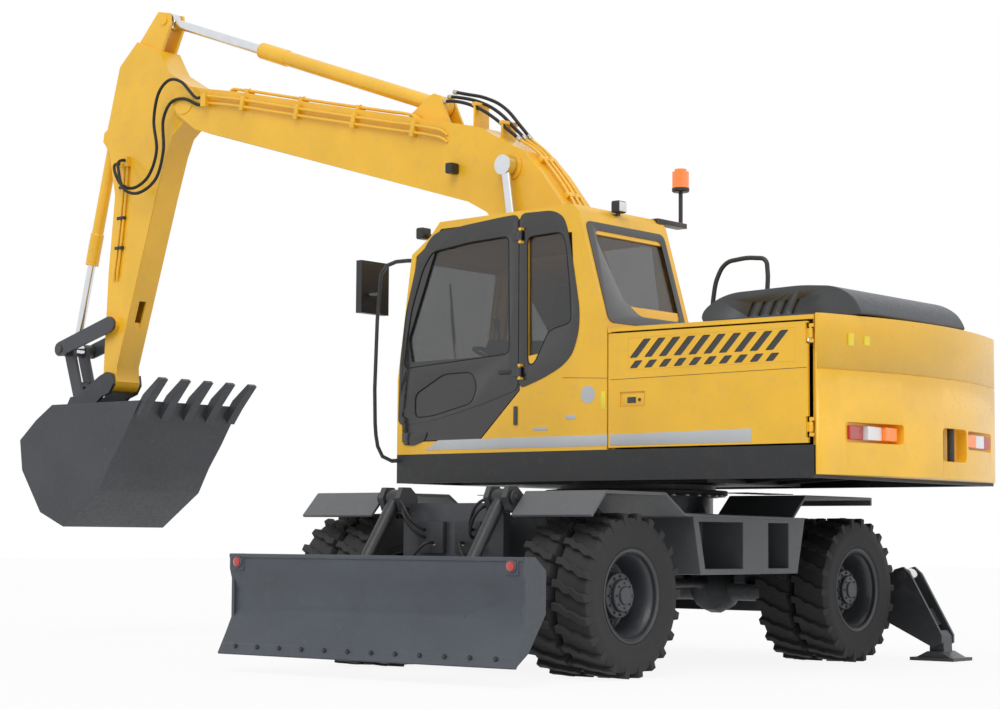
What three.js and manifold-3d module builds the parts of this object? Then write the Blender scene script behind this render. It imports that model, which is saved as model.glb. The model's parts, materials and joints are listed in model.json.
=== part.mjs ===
// Wheeled excavator with a dozer blade at the front, two outriggers at the rear, twin tyres and a one-piece boom.
// Millimetres, +Z up. The origin lies on the ground under the middle of the machine's bounding box, +X points to the
// dozer blade and +Y to the machine's left. The house stands turned a quarter turn, with the boom over the right side.
import * as THREE from "three";
import { mergeVertices } from "three/addons/utils/BufferGeometryUtils.js";
import Module from "manifold-3d";

const wasm = await Module();
wasm.setup();

// ---------------------------------------------------------------- driving dimensions
const GAP = 0.3; // between pieces that touch
const RUN = 0.93; // radial play of a pin in its bore
const SIDE = 6; // play beside an eye that turns on a pin
const ROUND = 20; // sides of a round piece
const SLIM = 12; // sides of a thin round piece

const CENTRE = { x: 505, y: -2029 }; // bounding-box centre, seen from the swing centre
const SLEW_AT_REST = -Math.PI / 2;

// Running gear, seen from the swing centre.
const FRONT_AXLE_X = 1754;
const WHEELBASE = 2800;
const REAR_AXLE_X = FRONT_AXLE_X - WHEELBASE;
const TYRE_R = 525;
const TYRE_WIDTH = 265;
const TWIN_SPACE = 35;
const TRACK_OUTER = 1245; // outer face of the outer tyre
const TYRE_INNER = TRACK_OUTER - 2 * TYRE_WIDTH - TWIN_SPACE;
const BEAD_R = 270;
const FLANGE_R = 301;
const RIM_WALL = 16;
const WHEEL_SIDES = 24;
const HUB_R = 145;
const HUB_FACE = TRACK_OUTER - 70;
const SPINDLE_R = 70;
const KINGPIN_Y = 790;
const AXLE_R = 100;
const AXLE_Z = TYRE_R;

// Chassis.
const CHASSIS_HALF = 360;
const CHASSIS_TOP = 1020;
const CHASSIS_BOTTOM = 700;
const CHASSIS_FRONT = 2060;
const CHASSIS_REAR = -1620;
const RING_R = 600;
const RING_TOP = 1235;

// Fenders, step boxes.
const FENDER_TOP = 1200;
const FENDER_PLATE = 22;
const FENDER_OUTER = 1240;
const STEP_FACE = 1215;

// Dozer blade.
const BLADE_HALF = 1245;
const BLADE_PIVOT = { x: 2130, z: 430 };
const BLADE_ARM_Y = 365;
const BLADE_CYL_TOP = { x: 2110, z: 1143 };
const BLADE_CYL_EYE = { x: 2690, z: 330 };
const BLADE_CYL_Y = 455;

// Outriggers.
const OUT_X = -1800;
const OUT_PIVOT = { y: 960, z: 400 };
const OUT_CYL_BASE = { y: 80, z: 750 };
const OUT_CYL_EYE = { y: 1230, z: 620 };
const OUT_FOOT = { y: 1500, z: 165 };

// House.
const HALF = 1220;
const DECK = 1478;
const SKIRT_BOTTOM = 1272;
const HOUSE_FRONT = 1250;
const SEAM = -2236; // between the side panels and the counterweight
const PANEL_TOP = 2296;
const PANEL_FRONT = -640;
const CAB_RIGHT = 192;
const CAB_WALL = 45;
const DOOR_WALL = 40;

// Working equipment, in the house's frame (X to the front, Z up), with its middle plane right of the cab.
const EQUIP_Y = -150;
const BOOM_HALF = 188;
const PLATE = 26;
const FOOT = { x: 250, z: 1850 };
const TIP = { x: 4870, z: 4710 };
const BOOM_CYL_BASE = { x: 800, z: 1420 };
const BOOM_CYL_EYE = { x: 1165, z: 3740 };
const BOOM_CYL_OUT = 258;
const ARM_CYL_BASE = { x: 2040, z: 4340 };
const ARM_CYL_EYE = { x: 5249, z: 5490 };
const ARM_HALF = 130;
const BUCKET_CYL_BASE = { x: 5990, z: 4497 };
const ROCKER_PIVOT = { x: 5790, z: 2775 };
const ROCKER_OUTER = { x: 6463, z: 2585 };
const BUCKET_PIVOT = { x: 5830, z: 2262 };
const BUCKET_LINK = { x: 6290, z: 2060 };
const BUCKET_HALF = 588;
const BUCKET_PLATE = 24;

// ---------------------------------------------------------------- solids
function toSolid(geometry) {
  const bare = geometry.clone();
  bare.deleteAttribute("normal");
  bare.deleteAttribute("uv");
  const merged = mergeVertices(bare, 1e-3);
  return new wasm.Manifold(
    new wasm.Mesh({
      numProp: 3,
      vertProperties: merged.attributes.position.array,
      triVerts: new Uint32Array(merged.index.array),
    }),
  );
}

function toGeometry(solid) {
  const mesh = solid.simplify(0.01).getMesh();
  const geometry = new THREE.BufferGeometry();
  geometry.setAttribute("position", new THREE.BufferAttribute(mesh.vertProperties, 3));
  geometry.setIndex(new THREE.BufferAttribute(mesh.triVerts, 1));
  const flat = geometry.toNonIndexed();
  flat.computeVertexNormals();
  return flat;
}

const join = (...solids) => solids.flat().reduce((a, b) => a.add(b));

function box(x0, x1, y0, y1, z0, z1) {
  const g = new THREE.BoxGeometry(x1 - x0, y1 - y0, z1 - z0);
  g.translate((x0 + x1) / 2, (y0 + y1) / 2, (z0 + z1) / 2);
  return toSolid(g);
}

// A round bar along an axis from a to b. u and v are its place on the other two axes, in X, Y, Z order.
function bar(axis, r, a, b, u, v, sides = ROUND) {
  const g = new THREE.CylinderGeometry(r, r, b - a, sides);
  const mid = (a + b) / 2;
  if (axis === "x") g.rotateZ(-Math.PI / 2).translate(mid, u, v);
  if (axis === "y") g.translate(u, mid, v);
  if (axis === "z") g.rotateX(Math.PI / 2).translate(u, v, mid);
  return toSolid(g);
}

function shapeOf(points) {
  return new THREE.Shape(points.map(([a, b]) => new THREE.Vector2(a, b)));
}

function prism(points, depth) {
  return new THREE.ExtrudeGeometry(shapeOf(points), { depth, bevelEnabled: false });
}

// An outline in X and Z, from y0 to y1.
function slabY(points, y0, y1) {
  return toSolid(prism(points, y1 - y0).rotateX(Math.PI / 2).translate(0, y1, 0));
}

// An outline in X and Y, from z0 to z1.
function slabZ(points, z0, z1) {
  return toSolid(prism(points, z1 - z0).translate(0, 0, z0));
}

// An outline in Y and Z, from x0 to x1.
function slabX(points, x0, x1) {
  const turn = new THREE.Matrix4().set(0, 0, 1, x0, 1, 0, 0, 0, 0, 1, 0, 0, 0, 0, 0, 1);
  return toSolid(prism(points, x1 - x0).applyMatrix4(turn));
}

function inset(points, d) {
  const turn = Math.sign(THREE.ShapeUtils.area(points.map(([x, y]) => ({ x, y }))));
  return points.map((p, i) => {
    const before = points[(i + points.length - 1) % points.length];
    const after = points[(i + 1) % points.length];
    const u = new THREE.Vector2(p[0] - before[0], p[1] - before[1]).normalize();
    const v = new THREE.Vector2(after[0] - p[0], after[1] - p[1]).normalize();
    const normal = new THREE.Vector2(-u.y - v.y, u.x + v.x).normalize().multiplyScalar(turn);
    const side = new THREE.Vector2(-u.y, u.x).multiplyScalar(turn);
    const reach = d / Math.max(normal.dot(side), 0.4);
    return [p[0] + normal.x * reach, p[1] + normal.y * reach];
  });
}

function lathe(profile, sides = WHEEL_SIDES) {
  return toSolid(new THREE.LatheGeometry(profile.map(([r, y]) => new THREE.Vector2(r, y)), sides));
}

// A round tube along a smooth line through the points.
function tube(points, radius, steps, sides = 8) {
  const curve = new THREE.CatmullRomCurve3(points.map((p) => new THREE.Vector3(...p)), false, "centripetal");
  const ring = [];
  for (let i = 0; i < sides; i += 1) {
    const t = (2 * Math.PI * i) / sides;
    ring.push([radius * Math.cos(t), radius * Math.sin(t)]);
  }
  return toSolid(new THREE.ExtrudeGeometry(shapeOf(ring), { steps, extrudePath: curve, bevelEnabled: false }));
}

// ---------------------------------------------------------------- materials and scene graph
const paint = (color, roughness = 0.45, metalness = 0.2) =>
  new THREE.MeshStandardMaterial({ color, roughness, metalness });
const YELLOW = paint(0xf2b632, 0.38, 0.1);
const GREY = paint(0x45494e, 0.5, 0.3);
const BLACK = paint(0x1c1d1f, 0.5, 0.2);
const RUBBER = paint(0x222222, 0.9, 0);
const CHROME = paint(0xc9ccd0, 0.15, 1);
const SEAT = paint(0x2a2b2e, 0.8, 0);
const AMBER = paint(0xf07810, 0.3, 0);
const GLASS = new THREE.MeshStandardMaterial({
  color: 0x30363a,
  roughness: 0.05,
  metalness: 0,
  transparent: true,
  opacity: 0.35,
});

const machine = new THREE.Group();
machine.name = "machine";
const chassis = new THREE.Group();
chassis.name = "chassis";
chassis.position.set(-CENTRE.x, -CENTRE.y, 0);
machine.add(chassis);
const house = new THREE.Group();
house.name = "pivot_slew";
house.rotation.z = SLEW_AT_REST;
chassis.add(house);

function piece(parent, name, solid, material) {
  const mesh = new THREE.Mesh(toGeometry(solid), material);
  mesh.name = name;
  parent.add(mesh);
  return mesh;
}

// A group at a pivot. What is put in it is modelled where it stands and moved to the pivot here.
function pivot(parent, name, x, y, z) {
  const group = new THREE.Group();
  group.name = "pivot_" + name;
  group.position.set(x, y, z);
  parent.add(group);
  return (node, solid, material) => piece(group, node, solid.translate([-x, -y, -z]), material);
}

// A hydraulic cylinder from its base pin to its rod's eye, along local +X with its pins along local Y. The rod's eye is
// a plain disc that hangs between the ears of its bracket.
function cylinder(parent, name, base, eye, hinge, size, material) {
  const along = new THREE.Vector3().subVectors(eye, base);
  const length = along.length();
  along.normalize();
  const frame = new THREE.Matrix4().makeBasis(along, hinge, new THREE.Vector3().crossVectors(along, hinge));
  const group = new THREE.Group();
  group.name = "pivot_" + name;
  group.position.copy(base);
  group.rotation.setFromRotationMatrix(frame);
  parent.add(group);
  const half = size.width / 2;
  const body = join(
    bar("x", size.r, size.lug * 0.6, size.barrel, 0, 0, 14),
    bar("x", size.r + 8, size.barrel - size.gland, size.barrel, 0, 0, 14),
    bar("y", size.lug, -half, half, 0, 0, 16),
  );
  const bored = body
    .subtract(bar("x", size.rod + RUN, size.lug * 1.4, size.barrel + 1, 0, 0, SLIM))
    .subtract(bar("y", size.pin + RUN, -half - 1, half + 1, 0, 0));
  piece(group, name + "_barrel", bored, material);
  const shaft = join(
    bar("x", size.rod, size.inside, length - size.eye * 0.5, 0, 0, SLIM),
    bar("y", size.eye, -size.eyeWidth / 2, size.eyeWidth / 2, length, 0, 16),
  );
  piece(group, name + "_rod", shaft, CHROME);
}

const ALONG_Y = new THREE.Vector3(0, 1, 0);
const both = (make) => [1, -1].map(make);

// The same solid on both sides of the middle plane, each from `from` to `to` away from it.
function pair(make, middle, from, to) {
  return both((s) => make(Math.min(middle + s * from, middle + s * to), Math.max(middle + s * from, middle + s * to)));
}

const plates = (outline, middle, from, to) => pair((a, b) => slabY(outline, a, b), middle, from, to);
const discs = (r, x, z, middle, from, to) => pair((a, b) => bar("y", r, a, b, x, z), middle, from, to);

// ---------------------------------------------------------------- running gear
const sideName = (s) => (s > 0 ? "left" : "right");

function wheel(name, x, s) {
  const at = (r, y) => [r, y];
  const inner = TYRE_INNER + 24;
  const outer = TRACK_OUTER - 24;
  const dish = 1000;
  const rim = lathe(
    [
      at(0, 1130),
      at(SPINDLE_R + RUN, 1130),
      at(SPINDLE_R + RUN, 930),
      at(HUB_R, 930),
      at(HUB_R, dish),
      at(BEAD_R - RIM_WALL, dish),
      at(BEAD_R - RIM_WALL, inner - 4),
      at(BEAD_R, inner - 4),
      at(BEAD_R, outer - 20),
      at(FLANGE_R - 1, outer - 20),
      at(FLANGE_R - 1, outer + 4),
      at(BEAD_R - RIM_WALL, outer + 4),
      at(BEAD_R - RIM_WALL, dish + 30),
      at(HUB_R, dish + 30),
      at(HUB_R, HUB_FACE),
      at(0, HUB_FACE),
    ],
  );
  const wide = TYRE_WIDTH / 2;
  const tread = (middle, turn) => {
    const shoulder = [
      [FLANGE_R + 0.3, -wide + 24],
      [420, -wide],
      [TYRE_R, -wide + 50],
    ];
    const half = shoulder.map(([r, y]) => [r, middle + turn * y]);
    return turn > 0 ? half : half.reverse();
  };
  const first = TYRE_INNER + wide;
  const second = TRACK_OUTER - wide;
  const profile = [
    ...tread(first, 1),
    ...tread(first, -1).slice(0, 2),
    [330, first + wide + 5],
    [330, second - wide - 5],
    ...tread(second, 1).slice(1),
    ...tread(second, -1),
    [FLANGE_R + 0.3, outer - 20.4],
    [BEAD_R + 0.4, outer - 20.4],
    [BEAD_R + 0.4, inner],
  ];
  const tyre = lathe([...profile, profile[0]]);
  const put = (solid) => (s > 0 ? solid : solid.mirror([0, 1, 0]));
  const add = pivot(chassis, name, x, s * 960, AXLE_Z);
  const place = (solid) => put(solid).translate([x, 0, AXLE_Z]);
  add("rim_" + name, place(rim), GREY);
  add("tyre_" + name, place(tyre), RUBBER);
}

both((s) => wheel("front_" + sideName(s), FRONT_AXLE_X, s));
both((s) => wheel("rear_" + sideName(s), REAR_AXLE_X, s));

const KNUCKLE_HALF = 155;
const EAR_TOP = 195;

function frontAxle() {
  const x = FRONT_AXLE_X;
  const yoke = both((s) => {
    const y = s * KINGPIN_Y;
    const wall = s > 0 ? [640, 700] : [-700, -640];
    const ear = (from, to) => join(
      bar("z", 84, from, to, x, y),
      box(x - 80, x + 80, Math.min(y, wall[0]), Math.max(y, wall[1]), from, to),
    );
    return join(
      box(x - 80, x + 80, wall[0], wall[1], AXLE_Z - EAR_TOP, AXLE_Z + EAR_TOP),
      ear(AXLE_Z + KNUCKLE_HALF + 0.5, AXLE_Z + EAR_TOP),
      ear(AXLE_Z - EAR_TOP, AXLE_Z - KNUCKLE_HALF - 0.5),
    );
  });
  const diff = toSolid(new THREE.SphereGeometry(200, 12, 7).translate(x, 0, AXLE_Z));
  const saddle = both((s) => box(x - 110, x + 110, Math.min(s * 230, s * 330), Math.max(s * 230, s * 330), 560, CHASSIS_BOTTOM - GAP));
  return join(bar("y", AXLE_R, -690, 690, x, AXLE_Z), diff, ...saddle, ...yoke);
}

function rearAxle() {
  const x = REAR_AXLE_X;
  const diff = toSolid(new THREE.SphereGeometry(200, 12, 7).translate(x, 0, AXLE_Z));
  const saddle = both((s) => box(x - 110, x + 110, Math.min(s * 230, s * 330), Math.max(s * 230, s * 330), 560, CHASSIS_BOTTOM - GAP));
  const spindles = bar("y", SPINDLE_R, -1125, 1125, x, AXLE_Z, WHEEL_SIDES);
  return join(bar("y", AXLE_R, -915, 915, x, AXLE_Z), diff, spindles, ...saddle);
}

piece(chassis, "front_axle", frontAxle(), BLACK);
piece(chassis, "rear_axle", rearAxle(), BLACK);
both((s) => {
  const add = pivot(chassis, "steer_" + sideName(s), FRONT_AXLE_X, s * KINGPIN_Y, AXLE_Z);
  const spindle = bar("y", SPINDLE_R, Math.min(s * KINGPIN_Y, s * 1125), Math.max(s * KINGPIN_Y, s * 1125), FRONT_AXLE_X, AXLE_Z, WHEEL_SIDES);
  const post = bar("z", 75, AXLE_Z - KNUCKLE_HALF, AXLE_Z + KNUCKLE_HALF, FRONT_AXLE_X, s * KINGPIN_Y);
  add("knuckle_" + sideName(s), join(post, spindle), BLACK);
});

// ---------------------------------------------------------------- chassis
const BEAM_PLATES = [[-1665, -1640], [-1960, -1935]];
const OUT_PIN_R = 35;
const BLADE_PIN_R = 35;

function chassisFrame() {
  const wall = 40;
  const girders = both((s) => box(CHASSIS_REAR, CHASSIS_FRONT, Math.min(s * CHASSIS_HALF, s * (CHASSIS_HALF - wall)),
    Math.max(s * CHASSIS_HALF, s * (CHASSIS_HALF - wall)), CHASSIS_BOTTOM, CHASSIS_TOP));
  const top = box(CHASSIS_REAR, CHASSIS_FRONT, -CHASSIS_HALF, CHASSIS_HALF, CHASSIS_TOP - 30, CHASSIS_TOP);
  const belly = box(-700, 1300, -CHASSIS_HALF, CHASSIS_HALF, CHASSIS_BOTTOM, CHASSIS_BOTTOM + 30);
  const nose = box(CHASSIS_FRONT - 70, CHASSIS_FRONT, -430, 430, 350, 1110);
  const pedestal = join(
    bar("z", RING_R - 40, CHASSIS_TOP - 10, 1190, 0, 0, 24),
    bar("z", RING_R, 1185, RING_TOP, 0, 0, 24),
  ).subtract(bar("z", RING_R - 120, CHASSIS_TOP - 40, RING_TOP + 1, 0, 0, 16));
  const legs = both((s) => box(-350, 350, Math.min(s * 340, s * 545), Math.max(s * 340, s * 545), 880, 1030));
  const beam = BEAM_PLATES.map(([a, b]) => slabX([
    [-1060, 330], [1060, 330], [1060, 520], [1000, 700], [230, 720], [180, 820],
    [-180, 820], [-230, 720], [-1000, 700], [-1060, 520],
  ], a, b));
  const beamCore = join(
    box(BEAM_PLATES[1][0], BEAM_PLATES[0][1], -850, 850, 330, 360),
    box(BEAM_PLATES[1][0], CHASSIS_REAR + 5, -CHASSIS_HALF, -CHASSIS_HALF + 60, 500, 620),
    box(BEAM_PLATES[1][0], CHASSIS_REAR + 5, CHASSIS_HALF - 60, CHASSIS_HALF, 500, 620),
    box(BEAM_PLATES[0][1] - 5, CHASSIS_REAR + 5, -CHASSIS_HALF, CHASSIS_HALF, CHASSIS_BOTTOM - 200, CHASSIS_TOP),
  );
  const pins = both((s) => join(
    bar("x", OUT_PIN_R, BEAM_PLATES[1][0] + 10, BEAM_PLATES[0][1] - 10, s * OUT_PIVOT.y, OUT_PIVOT.z),
    bar("x", OUT_PIN_R - 5, BEAM_PLATES[1][0] + 10, BEAM_PLATES[0][1] - 10, s * OUT_CYL_BASE.y, OUT_CYL_BASE.z),
  ));
  const bladeEar = [[CHASSIS_FRONT - 20, 350], [BLADE_PIVOT.x + 20, 350], [BLADE_PIVOT.x + 70, 400],
    [BLADE_PIVOT.x + 60, 500], [CHASSIS_FRONT - 20, 640]];
  const bladeEars = [[300, 322], [408, 430]].flatMap(([a, b]) => plates(bladeEar, 0, a, b));
  const bladePins = discs(BLADE_PIN_R, BLADE_PIVOT.x, BLADE_PIVOT.z, 0, 310, 420);
  const topEar = [[CHASSIS_FRONT - 60, 1040], [BLADE_CYL_TOP.x + 40, 1060], [BLADE_CYL_TOP.x + 75, 1143],
    [BLADE_CYL_TOP.x + 40, 1215], [BLADE_CYL_TOP.x - 40, 1215], [CHASSIS_FRONT - 60, 1160]];
  const topEars = [[360, 400], [510, 550]].flatMap(([a, b]) => plates(topEar, 0, a, b));
  const topPins = discs(32, BLADE_CYL_TOP.x, BLADE_CYL_TOP.z, 0, 380, 530);
  const shelf = box(CHASSIS_FRONT - 66, CHASSIS_FRONT - 6, -550, 550, 1045, 1105);
  return join(...girders, top, belly, nose, pedestal, ...legs, ...beam, beamCore, ...pins, ...bladeEars, ...bladePins,
    ...topEars, ...topPins, shelf);
}
piece(chassis, "chassis_frame", chassisFrame(), GREY);

// Fender, deck and step box of one side.
function sideDeck(s) {
  const over = [
    [2200, 1030], [2050, 1185], [1390, 1185], [1174, 1055], [-143, 1044], [-318, FENDER_TOP],
    [-1250, FENDER_TOP], [-1250, FENDER_TOP - 60],
  ];
  const under = inset([...over, [-1250, 900], [2200, 900]], FENDER_PLATE).slice(0, 8);
  under[0] = [2200 - FENDER_PLATE * 0.7, 1030 - FENDER_PLATE * 0.7];
  under[7] = [-1250 + FENDER_PLATE, FENDER_TOP - 60];
  const sheet = [...over, ...under.reverse()];
  const [y0, y1] = s > 0 ? [600, FENDER_OUTER] : [-FENDER_OUTER, -600];
  const [b0, b1] = s > 0 ? [700, STEP_FACE] : [-STEP_FACE, -700];
  const boxSide = [[1050, 1040], [960, 650], [-250, 650], [-350, 1040]];
  const shell = slabY(boxSide, b0, b1)
    .subtract(slabY([[980, 1000], [905, 690], [450, 690], [450, 1000]], s > 0 ? b0 + 180 : b0 - 1, s > 0 ? b1 + 1 : b1 - 180))
    .subtract(slabY([[130, 1000], [130, 690], [-130, 690], [-130, 1000]], s > 0 ? b0 + 180 : b0 - 1, s > 0 ? b1 + 1 : b1 - 180));
  const hung = [[60, 180], [620, 740]].map(([a, b]) => box(a, b, s > 0 ? CHASSIS_HALF + GAP : -720, s > 0 ? 720 : -CHASSIS_HALF - GAP, 740, 860));
  return join(slabY(sheet, y0, y1), shell, ...hung);
}
both((s) => piece(chassis, "side_deck_" + sideName(s), sideDeck(s), GREY));

// ---------------------------------------------------------------- dozer blade
function dozerBlade() {
  const face = [[2970, 120], [2900, 250], [2828, 398], [2830, 540], [2871, 672], [2871, 770]];
  const back = [[2835, 770], [2835, 680], [2792, 545], [2790, 390], [2868, 225], [2935, 112]];
  const sheet = slabY([...face, ...back], -BLADE_HALF, BLADE_HALF);
  const cheek = [[2945, 115], [2850, 350], [2850, 560], [2855, 770], [2760, 770], [2655, 690], [2655, 430], [2820, 200]];
  const cheeks = plates(cheek, 0, BLADE_HALF - 25, BLADE_HALF);
  const stiff = slabY([[2700, 300], [2830, 230], [2830, 420], [2700, 420]], -760, 760);
  const arms = plates([[BLADE_PIVOT.x - 56, 404], [BLADE_PIVOT.x - 28, 374], [BLADE_PIVOT.x + 50, 355], [2450, 270],
    [2720, 250], [2830, 250], [2830, 420], [2650, 420], [2400, 440], [BLADE_PIVOT.x + 60, 500],
    [BLADE_PIVOT.x - 28, 486], [BLADE_PIVOT.x - 56, 456]], 0, 330, 400);
  const bores = discs(BLADE_PIN_R + RUN, BLADE_PIVOT.x, BLADE_PIVOT.z, 0, 320, 410);
  const lug = [[2640, 400], [2800, 560], [2810, 250], [2700, 250], [2635, 300]];
  const lugs = [[BLADE_CYL_Y - 72, BLADE_CYL_Y - 47], [BLADE_CYL_Y + 47, BLADE_CYL_Y + 72]].flatMap(([a, b]) => plates(lug, 0, a, b));
  const caps = [[BLADE_CYL_Y - 84, BLADE_CYL_Y - 60], [BLADE_CYL_Y + 60, BLADE_CYL_Y + 84]]
    .flatMap(([a, b]) => discs(34, BLADE_CYL_EYE.x, BLADE_CYL_EYE.z, 0, a, b));
  const room = discs(78, BLADE_CYL_EYE.x, BLADE_CYL_EYE.z, 0, BLADE_CYL_Y - 47, BLADE_CYL_Y + 47);
  const roomAbove = pair((a, b) => box(2600, 2775, a, b, BLADE_CYL_EYE.z - 20, 560), 0, BLADE_CYL_Y - 47, BLADE_CYL_Y + 47);
  return join(sheet, ...cheeks, stiff, ...arms).subtract(join(...room, ...roomAbove)).add(join(...lugs, ...caps)).subtract(join(...bores));
}
pivot(chassis, "blade", BLADE_PIVOT.x, 0, BLADE_PIVOT.z)("dozer_blade", dozerBlade(), GREY);

const BLADE_CYL = { r: 45, rod: 28, barrel: 600, gland: 60, lug: 58, width: 90, pin: 32, inside: 369, eye: 55, eyeWidth: 76 };
both((s) => cylinder(
  chassis,
  "blade_cyl_" + sideName(s),
  new THREE.Vector3(BLADE_CYL_TOP.x, s * BLADE_CYL_Y, BLADE_CYL_TOP.z),
  new THREE.Vector3(BLADE_CYL_EYE.x, s * BLADE_CYL_Y, BLADE_CYL_EYE.z),
  ALONG_Y,
  BLADE_CYL,
  BLACK,
));

// ---------------------------------------------------------------- outriggers
const LEG_PLATES = [[OUT_X + 75, OUT_X + 100], [OUT_X - 100, OUT_X - 75]];
const OUT_CYL = { r: 46, rod: 30, barrel: 635, gland: 60, lug: 52, width: 90, pin: OUT_PIN_R - 5, inside: 557, eye: 58, eyeWidth: 90 };
const FOOT_PIN_R = 30;

function outrigger(s) {
  const flip = (solid) => (s > 0 ? solid : solid.mirror([0, 1, 0]));
  const outline = [[900, 340], [1000, 325], [1490, 95], [1560, 130], [1560, 190], [1300, 640], [1240, 690],
    [1170, 670], [1060, 520], [920, 470]];
  const web = slabX([[1330, 230], [1440, 150], [1480, 240], [1400, 380]], LEG_PLATES[1][0], LEG_PLATES[0][1]);
  const leg = join(
    ...LEG_PLATES.map(([a, b]) => slabX(outline, a, b)),
    web,
    bar("x", 62, BEAM_PLATES[1][1] + SIDE, BEAM_PLATES[0][0] - SIDE, OUT_PIVOT.y, OUT_PIVOT.z),
    bar("x", FOOT_PIN_R, LEG_PLATES[1][0] + 10, LEG_PLATES[0][1] - 10, OUT_FOOT.y, OUT_FOOT.z),
    bar("x", 38, LEG_PLATES[0][0] + 5, LEG_PLATES[0][1] + 12, OUT_CYL_EYE.y, OUT_CYL_EYE.z, SLIM),
    bar("x", 38, LEG_PLATES[1][0] - 12, LEG_PLATES[1][1] - 5, OUT_CYL_EYE.y, OUT_CYL_EYE.z, SLIM),
  ).subtract(bar("x", OUT_PIN_R + RUN, BEAM_PLATES[1][1], BEAM_PLATES[0][0], OUT_PIVOT.y, OUT_PIVOT.z))
    .subtract(bar("x", 105, LEG_PLATES[1][1], LEG_PLATES[0][0], OUT_FOOT.y, OUT_FOOT.z, SLIM)
      .subtract(bar("x", FOOT_PIN_R, LEG_PLATES[1][1] - 1, LEG_PLATES[0][0] + 1, OUT_FOOT.y, OUT_FOOT.z)));
  pivot(chassis, "outrigger_" + sideName(s), OUT_X, s * OUT_PIVOT.y, OUT_PIVOT.z)("outrigger_leg_" + sideName(s), flip(leg), GREY);
  const { y, z } = OUT_FOOT;
  const foot = join(
    box(OUT_X - 150, OUT_X + 150, y - 180, y + 180, 0, 25),
    slabX([[y - 150, 20], [y + 150, 20], [y + 50, 70], [y - 50, 70]], OUT_X - 120, OUT_X + 120),
    slabX([[y - 60, 60], [y + 60, 60], [y + 55, z + 20], [y + 25, z + 58], [y - 25, z + 58], [y - 55, z + 20]], OUT_X - 66, OUT_X + 66),
  ).subtract(bar("x", FOOT_PIN_R + RUN, OUT_X - 70, OUT_X + 70, y, z));
  pivot(chassis, "foot_" + sideName(s), OUT_X, s * y, z)("outrigger_foot_" + sideName(s), flip(foot), GREY);
  cylinder(
    chassis,
    "outrigger_cyl_" + sideName(s),
    new THREE.Vector3(OUT_X, s * OUT_CYL_BASE.y, OUT_CYL_BASE.z),
    new THREE.Vector3(OUT_X, s * OUT_CYL_EYE.y, OUT_CYL_EYE.z),
    new THREE.Vector3(1, 0, 0),
    OUT_CYL,
    BLACK,
  );
}
both(outrigger);

// ---------------------------------------------------------------- house
const FOOT_PIN = 55;
const FOOT_PLATES = [196, 222];
const NOTCH = BOOM_CYL_OUT + 88;
const BASE_PIN_R = 42;

function upperFrame() {
  const deck = box(SEAM, HOUSE_FRONT, -HALF, HALF, DECK - 38, DECK);
  const skirt = box(SEAM, HOUSE_FRONT, -HALF, HALF, SKIRT_BOTTOM, DECK)
    .subtract(box(SEAM + 30, HOUSE_FRONT - 30, -HALF + 30, HALF - 30, SKIRT_BOTTOM - 1, DECK - 38));
  const table = bar("z", RING_R - 20, RING_TOP + 0.6, SKIRT_BOTTOM + 40, 0, 0, 24);
  const floor = box(-1000, HOUSE_FRONT - 10, -640, 560, SKIRT_BOTTOM, SKIRT_BOTTOM + 30);
  const slot = box(600, HOUSE_FRONT + 1, EQUIP_Y - NOTCH, EQUIP_Y + NOTCH, SKIRT_BOTTOM + 30, DECK + 1);
  const keel = plates([[-2000, DECK], [-2000, 1330], [-1000, SKIRT_BOTTOM + 5], [HOUSE_FRONT - 10, SKIRT_BOTTOM + 5],
    [HOUSE_FRONT - 10, 1400], [1000, DECK - 5]], EQUIP_Y, FOOT_PLATES[0], FOOT_PLATES[1]);
  const tower = [[-420, DECK - 20], [620, DECK - 20], [620, 1530], [360, 1930], [300, 1965], [190, 1965], [120, 1920]];
  const towers = plates(tower, EQUIP_Y, FOOT_PLATES[0], FOOT_PLATES[1]);
  const tie = box(-300, -120, EQUIP_Y - 200, EQUIP_Y + 200, DECK - 20, 1560);
  const pin = bar("y", FOOT_PIN, EQUIP_Y - 210, EQUIP_Y + 210, FOOT.x, FOOT.z);
  const base = BOOM_CYL_BASE;
  const ear = [[base.x - 90, SKIRT_BOTTOM + 20], [base.x + 260, SKIRT_BOTTOM + 20], [base.x + 70, base.z + 60],
    [base.x + 30, base.z + 88], [base.x - 30, base.z + 88], [base.x - 90, base.z + 40]];
  const earsAll = [[174, 199], [317, 340]].flatMap(([a, b]) => plates(ear, EQUIP_Y, a, b));
  const basePins = discs(BASE_PIN_R, base.x, base.z, EQUIP_Y, 190, 326);
  return join(deck, skirt, table, floor, ...keel).subtract(slot).add(join(...towers, tie, pin, ...earsAll, ...basePins));
}
piece(house, "upper_frame", upperFrame(), BLACK);

// Counterweight: its back is an arc with rounded corners.
const TAIL = { r: 3637, x: 1167, half: 1130 };
function tailOutline(d) {
  const back = [];
  for (let i = 0; i <= 10; i += 1) {
    const y = TAIL.half - (2 * TAIL.half * i) / 10;
    back.push([TAIL.x + d - Math.sqrt(TAIL.r ** 2 - y ** 2), y]);
  }
  const front = SEAM - GAP;
  const edge = HALF - 15 - d;
  const corner = [front - 30, edge - 27];
  return [[front, edge], corner, ...back, [corner[0], -corner[1]], [front, -edge]];
}
function counterweight() {
  const front = SEAM - GAP;
  const body = join(slabZ(tailOutline(0), 1380, 2285), slabZ(tailOutline(18), 1290, 1385), slabZ(tailOutline(10), 2280, 2308));
  const inner = box(front - 60, -2130, -1100, 1100, DECK + GAP, 2240);
  const pocket = box(-2600, -2400, -340, 40, 1400, 1680);
  const lamps = pair((a, b) => box(-2600, -2322, a, b, 1500, 1626), 0, 419, 968);
  return body.add(inner).subtract(join(pocket, ...lamps));
}
piece(house, "counterweight", counterweight(), YELLOW);

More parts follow.
